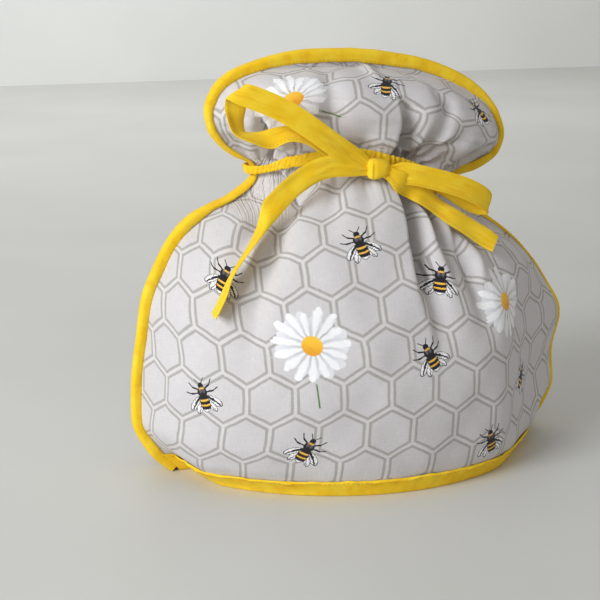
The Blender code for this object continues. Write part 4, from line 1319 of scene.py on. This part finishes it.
def bee_tree():
    """A bee seen from above, head up, about 24 mm over its wings and legs."""
    tree, place, leave = motif_tree("bee")
    wobble = place.noise(0.55, 2.0)
    x, y, _ = place.parts()
    right = combine(tree, abs(x) + (wobble - 0.5) * 0.9, y + (wobble - 0.5) * 1.1)
    legs = None
    for ax, ay, bx, by in (
        (1.5, 4.0, 5.6, 6.0), (5.6, 6.0, 7.6, 9.0),
        (2.0, 2.4, 7.4, 2.4), (7.4, 2.4, 10.6, 4.0),
        (2.0, 0.4, 6.4, -3.0), (6.4, -3.0, 9.2, -6.8),
    ):
        part = right.stroke(ax, ay, bx, by, 0.55 if ax < 3 else 0.36)
        legs = part if legs is None else legs.least(part)
    feelers = right.stroke(0.7, 7.6, 3.0, 10.4, 0.3)
    legs = legs.least(feelers)
    fore = right.oval(6.3, -3.6, 5.6, 2.5, -38)
    hind = right.oval(4.4, -6.6, 4.0, 1.9, -58)
    wing = fore.least(hind)
    veins = right.stroke(2.2, -0.6, 9.6, -6.4, 0.16).least(right.stroke(2.4, -1.6, 8.0, -7.4, 0.12))
    veins = veins.least(right.stroke(2.0, -3.0, 5.6, -9.6, 0.14))
    body = right.oval(0, -4.4, 3.5, 5.4).least(right.oval(0, 2.5, 3.3, 3.2))
    body = body.least(right.oval(0, 6.4, 1.9, 1.8))
    speck = place.noise(1.5, 3.0, 0.6)
    drawn = (abs(wing + 0.1) - 0.16).inside(0.14).most((veins - 0.08).inside(0.12) * wing.inside(0.1))
    colour = blend(tree, drawn.most(speck.step(0.55, 0.62) * 0.95), WING, INK)
    colour = blend(tree, legs.inside(0.14), colour, INK)
    colour = blend(tree, body.inside(0.16), colour, INK)
    bend = y + x * x * -0.05 + (speck - 0.5) * 1.4
    bands = (abs(bend + 2.6) - 0.62).inside(0.22).most((abs(bend + 5.6) - 0.5).inside(0.22))
    bands = bands.most((abs(bend - 4.7) - 0.55).inside(0.25))
    striped = bands * (body + 0.35).inside(0.2)
    colour = blend(tree, striped, colour, blend(tree, speck.step(0.4, 0.62), HONEY, AMBER))
    tail = (bend + 8.2).inside(0.3) * (body + 0.3).inside(0.2)
    colour = blend(tree, tail, colour, WING)
    gleam = right.oval(1.1, 3.4, 0.8, 1.4).inside(0.4) * 0.35
    colour = blend(tree, gleam, colour, (0.30, 0.28, 0.32))
    cover = (wing - 0.1).inside(0.14) * (speck.step(0.30, 0.36) * 0.25 + 0.75)
    cover = cover.most(legs.inside(0.14)).most(body.inside(0.16))
    tree.links.new(colour, leave.inputs["Colour"])
    tree.links.new(cover.socket, leave.inputs["Cover"])
    return tree


def daisy_tree():
    """A daisy about 48 mm across, with its stem below."""
    tree, place, leave = motif_tree("daisy")
    x, y, _ = place.parts()
    far = place.length()
    turn = y.math("ARCTAN2", x)
    wobble = place.noise(0.22, 2.0)

    def petals(count, shift, longest, fullest):
        at = turn * (count / (2 * math.pi)) + shift + (wobble - 0.5) * 0.55
        which = at.math("FLOOR")
        lot = tree.nodes.new("ShaderNodeTexWhiteNoise")
        lot.noise_dimensions = "1D"
        tree.links.new((which + shift * 31).socket, lot.inputs["W"])
        chance = Wire(tree, lot.outputs["Value"])
        off = abs(at - which - 0.5 + (chance - 0.5) * 0.16)
        reach = longest * 0.80 + chance * (longest * 0.2)
        past = ((far - fullest) / (reach - fullest)).most(0.0)
        wide = (1 - past * past).root() * (far * 0.017 + 0.20).least(0.43)
        edge = (off - wide) * far * (2 * math.pi / count)
        return edge, off, wide

    under, _, _ = petals(13, 0.37, 22.0, 12.0)
    over, off, wide = petals(15, 0.0, 24.0, 14.0)
    streak = (off * 34).sin() * 0.12 + (off / (wide + 0.01)).step(0.45, 1.0) * 0.55
    colour = blend(tree, (far.step(8, 20) * -0.35 + 0.75), PETAL, PETAL_SHADE)
    upper_ring = over.inside(0.2)
    shade = streak.most(0.0).least(0.75)
    colour = blend(tree, upper_ring, colour, blend(tree, shade, PETAL, PETAL_SHADE))
    grain = place.noise(1.1, 3.0, 0.7)
    disc = combine(tree, x, y * 1.06).length() - 6.0 + (grain - 0.5) * 1.2
    heart = blend(tree, (grain + y * 0.035).step(0.34, 0.60), AMBER, (0.93, 0.55, 0.05))
    heart = blend(tree, grain.step(0.64, 0.72) * 0.8, heart, (0.9, 0.82, 0.45))
    colour = blend(tree, disc.inside(0.3), colour, heart)
    stem = place.stroke(4.5, -21.0, 9.0, -34.0, 0.55)
    stem_cover = stem.inside(0.2) * (far - 20.0).step(0.0, 2.0)
    colour = blend(tree, stem_cover * (1 - over.inside(0.2)) * (1 - under.inside(0.2)), colour, LEAF)
    cover = over.inside(0.2).most(under.inside(0.2)).most(disc.inside(0.3)).most(stem_cover)
    tree.links.new(colour, leave.inputs["Colour"])
    tree.links.new(cover.socket, leave.inputs["Cover"])
    return tree


# The print, in millimetres along and up the cloth from the middle of the hem.
COMB = 27.5  # from one cell to the next
COMB_LINE = 1.75  # each cell's line lies this far inside its border
COMB_THICK = 1.6
COMB_AT = (-15.0, 41.5)  # centre of one cell
MOTIF_COLUMNS = ("u", "v", "turn", "size")
FRONT_BEES = (
    (-104, 134, -22, 1.0),
    (-124, 66, 16, 1.0),
    (-62, 34, -28, 1.0),
    (-22, 152, 14, 1.0),
    (10, 84, 26, 1.0),
    (30, 128, -20, 1.0),
    (54, 26, 18, 1.0),
    (100, 56, -30, 1.0),
    (92, 160, -16, 1.0),
    (4, 258, -24, 1.0),
    (72, 258, 30, 1.0),
)
FRONT_DAISIES = (
    (-58, 96, -12, 1.0),
    (76, 108, 20, 1.0),
    (-52, 262, 34, 1.0),
)
BACK_BEES = (
    (-146, 88, 10, 1.0),
    (-118, 36, -8, 1.0),
    (-70, 84, 4, 1.0),
    (-96, 146, 16, 1.0),
    (-34, 46, -12, 1.0),
    (-26, 150, 6, 1.0),
    (22, 92, -6, 1.0),
    (48, 30, 14, 1.0),
    (62, 140, -16, 1.0),
    (96, 86, 8, 1.0),
    (130, 40, -4, 1.0),
    (138, 122, 12, 1.0),
    (-54, 236, -14, 1.0),
    (44, 244, 10, 1.0),
)
BACK_DAISIES = (
    (-22, 104, -8, 1.0),
    (88, 182, 30, 1.0),
    (0, 282, 160, 1.0),
)

COTTON = (0.568, 0.548, 0.560)
COTTON_PALE = (0.602, 0.584, 0.588)
COMB_GREY = (0.350, 0.330, 0.318)


def cloth_place(tree, name="cloth"):
    """The cloth's own coordinates, in millimetres."""
    node = tree.nodes.new("ShaderNodeUVMap")
    node.uv_map = name
    return Place(tree, node.outputs["UV"])


def weave(place, pitch):
    """Height of a plain weave and its uneven threads, about 0 to 1."""
    x, y, _ = place.parts()
    along = (x * (math.pi / pitch)).sin()
    up = (y * (math.pi / pitch)).sin()
    cross = along * up * 0.5 + 0.5
    slub = place.do("MULTIPLY", (0.16, 1.4, 0.0)).noise(1.0, 2.0)
    slub = slub + place.do("MULTIPLY", (1.4, 0.16, 0.0)).noise(1.0, 2.0)
    return cross * 0.5 + slub * 0.5


def picked(place, table, within):
    """place in the frame of the nearest motif of a table, and far away where there is none near."""
    tree = place.tree
    total = combine(tree, 900.0, 900.0)
    for line in table:
        motif = dict(zip(MOTIF_COLUMNS, line))
        off = place.do("SUBTRACT", (motif["u"], motif["v"], 0.0))
        here = (off.length() - within * motif["size"]).math("LESS_THAN", 0.0)
        node = tree.nodes.new("ShaderNodeVectorRotate")
        node.rotation_type = "Z_AXIS"
        node.inputs["Angle"].default_value = -math.radians(motif["turn"])
        tree.links.new(off.socket, node.inputs["Vector"])
        turned = Place(tree, node.outputs["Vector"]).scaled(1 / motif["size"])
        move = turned.do("SUBTRACT", total).scaled(here)
        total = total.do("ADD", move)
    return total


def new_material(name, roughness, sheen):
    material = bpy.data.materials.new(name)
    material.use_nodes = True
    tree = material.node_tree
    shader = tree.nodes["Principled BSDF"]
    shader.inputs["Roughness"].default_value = roughness
    shader.inputs["Metallic"].default_value = 0.0
    shader.inputs["Specular IOR Level"].default_value = 0.2
    shader.inputs["Sheen Weight"].default_value = sheen
    shader.inputs["Sheen Roughness"].default_value = 0.6
    return material, tree, shader


def raised(tree, shader, height, depth, strength=1.0):
    """Bump from a height between 0 and 1 that stands for that depth."""
    node = tree.nodes.new("ShaderNodeBump")
    node.inputs["Strength"].default_value = strength
    node.inputs["Distance"].default_value = depth
    tree.links.new(height.socket, node.inputs["Height"])
    tree.links.new(node.outputs["Normal"], shader.inputs["Normal"])


def printed_cotton(name, bees, daisies, bee, daisy):
    """Pale cotton with a honeycomb in double grey lines, and small bees and daisies over it."""
    material, tree, shader = new_material(name, 0.86, 0.12)
    place = cloth_place(tree)
    hand = place.noise(0.09, 2.0)
    drawn = combine(tree, hand * 1.2, place.noise(0.12, 2.0) * 1.2).do("ADD", place)
    centred = drawn.do("SUBTRACT", (COMB_AT[0] + 0.6, COMB_AT[1] + 0.6, 0.0))
    half = (COMB / 2, COMB * math.sqrt(3) / 2, 1.0)
    back = tuple(-h for h in half)
    one = centred.do("WRAP", half, back)
    two = centred.do("ADD", half).do("WRAP", half, back)
    nearer = (one.length() - two.length()).math("LESS_THAN", 0.0)
    cell = two.do("ADD", one.do("SUBTRACT", two).scaled(nearer))
    x, y, _ = cell.do("ABSOLUTE").parts()
    border = COMB / 2 - x.most(x * 0.5 + y * (math.sqrt(3) / 2))
    thread = weave(place, 0.55)
    blot = place.noise(1.3, 3.0, 0.65)
    line = (abs(border - COMB_LINE) - COMB_THICK / 2 + (blot - 0.5) * 0.3).inside(0.3)
    ground = blend(tree, border.step(COMB_LINE - 0.3, COMB_LINE + 0.3), COTTON_PALE, COTTON)
    ground = blend(tree, place.noise(0.035, 3.0).step(0.3, 0.75) * 0.35, ground, COTTON_PALE)
    colour = blend(tree, line * (0.76 + blot * 0.3), ground, COMB_GREY)
    for group, table, within in ((daisy, daisies, 40.0), (bee, bees, 14.0)):
        motif = tree.nodes.new("ShaderNodeGroup")
        motif.node_tree = group
        tree.links.new(picked(place, table, within).socket, motif.inputs["Place"])
        colour = blend(tree, Wire(tree, motif.outputs["Cover"]), colour, motif.outputs["Colour"])
    fibre = (thread - 0.5) * 0.40 + 1.0
    shade = tree.nodes.new("ShaderNodeVectorMath")
    shade.operation = "SCALE"
    tree.links.new(colour, shade.inputs[0])
    tree.links.new(fibre.socket, shade.inputs["Scale"])
    tree.links.new(shade.outputs["Vector"], shader.inputs["Base Color"])
    spot = tree.nodes.new("ShaderNodeTexCoord")
    x, y, z = Place(tree, spot.outputs["Object"]).scaled(1000.0).parts()
    across = x - (z - 180) * 0.32
    drawn_up = z.step(146, 172) * (1 - z.step(180, 193)) * across.step(-76, -69)
    drawn_up = drawn_up * (1 - across.step(-54, -44)) * (1 - y.step(8, 20))
    gather = (across * (2 * math.pi / 2.1) + place.noise(0.05, 2.0) * 6).sin()
    gather = gather + (across * (2 * math.pi / 1.35) + place.noise(0.04, 2.0) * 5).sin() * 0.7
    raised(tree, shader, thread * 0.4 + gather * drawn_up * 0.32, 0.0006, 0.9)
    return material


def plain_cotton(name, colour, pale, pitch=0.85, roughness=0.88):
    """Undyed cotton of the inside."""
    material, tree, shader = new_material(name, roughness, 0.1)
    place = cloth_place(tree)
    thread = weave(place, pitch)
    tree.links.new(blend(tree, thread.step(0.2, 0.85), colour, pale), shader.inputs["Base Color"])
    raised(tree, shader, thread, 0.0002, 0.8)
    return material


YELLOW = (0.890, 0.555, 0.012)
# Deeper orange: painted shade for the tape's wrinkles and weave.
YELLOW_PAINTED_SHADE = (0.760, 0.350, 0.003)
YELLOW_PALE = (0.930, 0.660, 0.035)


def dyed_tape(name, across, wrinkle_and_shade):
    """Yellow cotton tape: fine weave, uneven dye and soft wrinkles, across it or along it, with painted shade
    of deeper orange in the wrinkles and the weave.
    """
    material, tree, shader = new_material(name, 0.80, 0.10)
    shader.inputs["Sheen Tint"].default_value = (1.0, 0.86, 0.30, 1.0)
    place = cloth_place(tree)
    thread = weave(place, 0.45)
    cloud = place.noise(0.07, 3.0)
    wrinkle = place.do("MULTIPLY", across).noise(1.0, 3.0, 0.55)
    colour = blend(tree, cloud.step(0.3, 0.7), YELLOW, YELLOW_PALE)
    # Painted shade: the tape turns deeper orange in its wrinkles, more so the more wrinkled the tape is, and
    # between its threads.
    shaded = (1 - wrinkle.step(0.28, 0.5)) * (0.15 + wrinkle_and_shade * 0.6) + (1 - thread.step(0.1, 0.7)) * 0.3
    colour = blend(tree, shaded, colour, YELLOW_PAINTED_SHADE)
    tree.links.new(colour, shader.inputs["Base Color"])
    raised(tree, shader, thread * 0.25 + wrinkle * wrinkle_and_shade, 0.0007, 0.7)
    return material


def sewing_thread(name, colour, pale):
    material, tree, shader = new_material(name, 0.6, 0.2)
    spot = tree.nodes.new("ShaderNodeTexCoord")
    twist = Place(tree, spot.outputs["Object"]).noise(2600.0, 1.0)
    tree.links.new(blend(tree, twist.step(0.35, 0.65), colour, pale), shader.inputs["Base Color"])
    return material


# ---------------------------------------------------------------------------------------------------------
# The cosy


def dress():
    bee, daisy = bee_tree(), daisy_tree()
    front_print = printed_cotton("printed_cotton_front", FRONT_BEES, FRONT_DAISIES, bee, daisy)
    back_print = printed_cotton("printed_cotton_back", BACK_BEES, BACK_DAISIES, bee, daisy)
    lining = plain_cotton("inside_cotton", (0.56, 0.52, 0.47), (0.66, 0.63, 0.58))
    # The last number sets each tape's wrinkles and the painted shade in them.
    bias = dyed_tape("yellow_binding", (0.16, 0.10, 0.0), 0.35)
    ruche = dyed_tape("yellow_ruched_band", (0.5, 0.2, 0.0), 1.0)
    ribbon = dyed_tape("yellow_bow", (0.05, 0.34, 0.0), 0.45)
    gold = sewing_thread("gold_thread", (0.56, 0.28, 0.01), (0.74, 0.42, 0.03))

    front = make_panel(
        "front_cloth", -1, FRONT_FOLDS, FRONT_CREASES, FRONT_LINES, FRONT_COLUMNS, front_print, lining
    )
    back = make_panel("back_cloth", 1, BACK_FOLDS, BACK_CREASES, (), BACK_COLUMNS, back_print, lining)
    edge, edge_front, edge_back = make_edge_binding(bias)
    hem_front, hem_front_line = make_hem_binding("front_hem_tape", -1, FRONT_FOLDS, FRONT_COLUMNS, bias)
    hem_back, hem_back_line = make_hem_binding("back_hem_tape", 1, BACK_FOLDS, BACK_COLUMNS, bias)
    band = make_neck_band(ruche)
    bow, bow_seams = make_tie(ribbon)
    hem_sewing = make_stitches("hem_stitches", [hem_front_line, hem_back_line], gold, 2.7, 1.8, 0.16)
    edge_sewing = make_stitches("edge_stitches", [edge_front, edge_back], gold, 2.7, 1.8, 0.15)
    bow_sewing = make_stitches("bow_stitches", bow_seams, gold, 2.3, 1.5, 0.14)

    for piece, slot, nodes in (
        (front, "quilted_cotton", ["front_panel"]),
        (back, "quilted_cotton", ["back_panel"]),
        (edge, "yellow_cotton", ["edge_binding"]),
        (hem_front, "yellow_cotton", ["hem_binding_front"]),
        (hem_back, "yellow_cotton", ["hem_binding_back"]),
        (band, "yellow_cotton", ["neck_band"]),
        (bow, "yellow_cotton", ["tie"]),
        (hem_sewing, "yellow_cotton", []),
        (edge_sewing, "yellow_cotton", []),
        (bow_sewing, "yellow_cotton", []),
    ):
        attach(piece, "root")
        if nodes:
            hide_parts(*nodes)


# ---------------------------------------------------------------------------------------------------------
# Floor, light and camera


def plain_finish(name, colour, pale, roughness):
    """Matte finish with a faint cloudiness, for what isn't part of the cosy."""
    material = bpy.data.materials.new(name)
    material.use_nodes = True
    tree = material.node_tree
    shader = tree.nodes["Principled BSDF"]
    shader.inputs["Roughness"].default_value = roughness
    spot = tree.nodes.new("ShaderNodeTexCoord")
    cloud = Place(tree, spot.outputs["Object"]).noise(3.0, 3.0)
    tree.links.new(blend(tree, cloud.step(0.3, 0.7), colour, pale), shader.inputs["Base Color"])
    return material


def flat_sheet(name, corners, material):
    mesh = bpy.data.meshes.new(name)
    mesh.from_pydata(corners, [], [(0, 1, 2, 3)])
    mesh.materials.append(material)
    obj = bpy.data.objects.new(name, mesh)
    bpy.context.scene.collection.objects.link(obj)
    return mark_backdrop(obj)


def soft_light(name, place, aim, size, power, colour):
    light = bpy.data.lights.new(name, "AREA")
    light.shape = "RECTANGLE"
    light.size, light.size_y = size
    light.energy = power
    light.color = colour
    obj = bpy.data.objects.new(name, light)
    obj.location = place
    way = np.array(aim, float) - np.array(place, float)
    yaw = math.atan2(way[0], way[1])
    down = math.atan2(-way[2], math.hypot(way[0], way[1]))
    obj.rotation_euler = (math.pi / 2 - down, 0.0, -yaw)
    bpy.context.scene.collection.objects.link(obj)


CAMERA_AT = (-0.32235, -0.79501, 0.31296)
CAMERA_YAW = 0.346414
CAMERA_DOWN = 0.248171
CAMERA_LENS = 85.2


def set_stage():
    table = plain_finish("pale_table", (0.58, 0.58, 0.555), (0.62, 0.62, 0.60), 0.5)
    wall = plain_finish("pale_wall", (0.80, 0.81, 0.79), (0.83, 0.84, 0.82), 0.7)
    flat_sheet("floor", [(-6, -6, 0), (6, -6, 0), (6, 6, 0), (-6, 6, 0)], table)
    flat_sheet("backdrop", [(-6, 2.4, -0.2), (6, 2.4, -0.2), (6, 2.4, 5), (-6, 2.4, 5)], wall)
    world = bpy.data.worlds.new("soft_room")
    world.use_nodes = True
    world.node_tree.nodes["Background"].inputs["Color"].default_value = (1.0, 0.98, 0.94, 1.0)
    world.node_tree.nodes["Background"].inputs["Strength"].default_value = 0.45
    scene = bpy.context.scene
    scene.world = world
    scene.view_settings.view_transform = "Standard"
    soft_light("window", (-1.66, -0.80, 0.98), (0, 0, 0.11), (1.0, 1.0), 35, (0.95, 0.975, 1.0))
    soft_light("back_room", (0.2, 1.5, 1.6), (0, 2.4, 0.5), (1.8, 1.2), 16, (0.97, 0.98, 1.0))
    camera = bpy.data.cameras.new("camera")
    camera.lens = CAMERA_LENS
    camera.sensor_width = 36.0
    camera.clip_start = 0.02
    holder = bpy.data.objects.new("camera", camera)
    holder.location = CAMERA_AT
    holder.rotation_euler = (math.pi / 2 - CAMERA_DOWN, 0.0, -CAMERA_YAW)
    scene.collection.objects.link(holder)
    scene.camera = holder


dress()
set_stage()
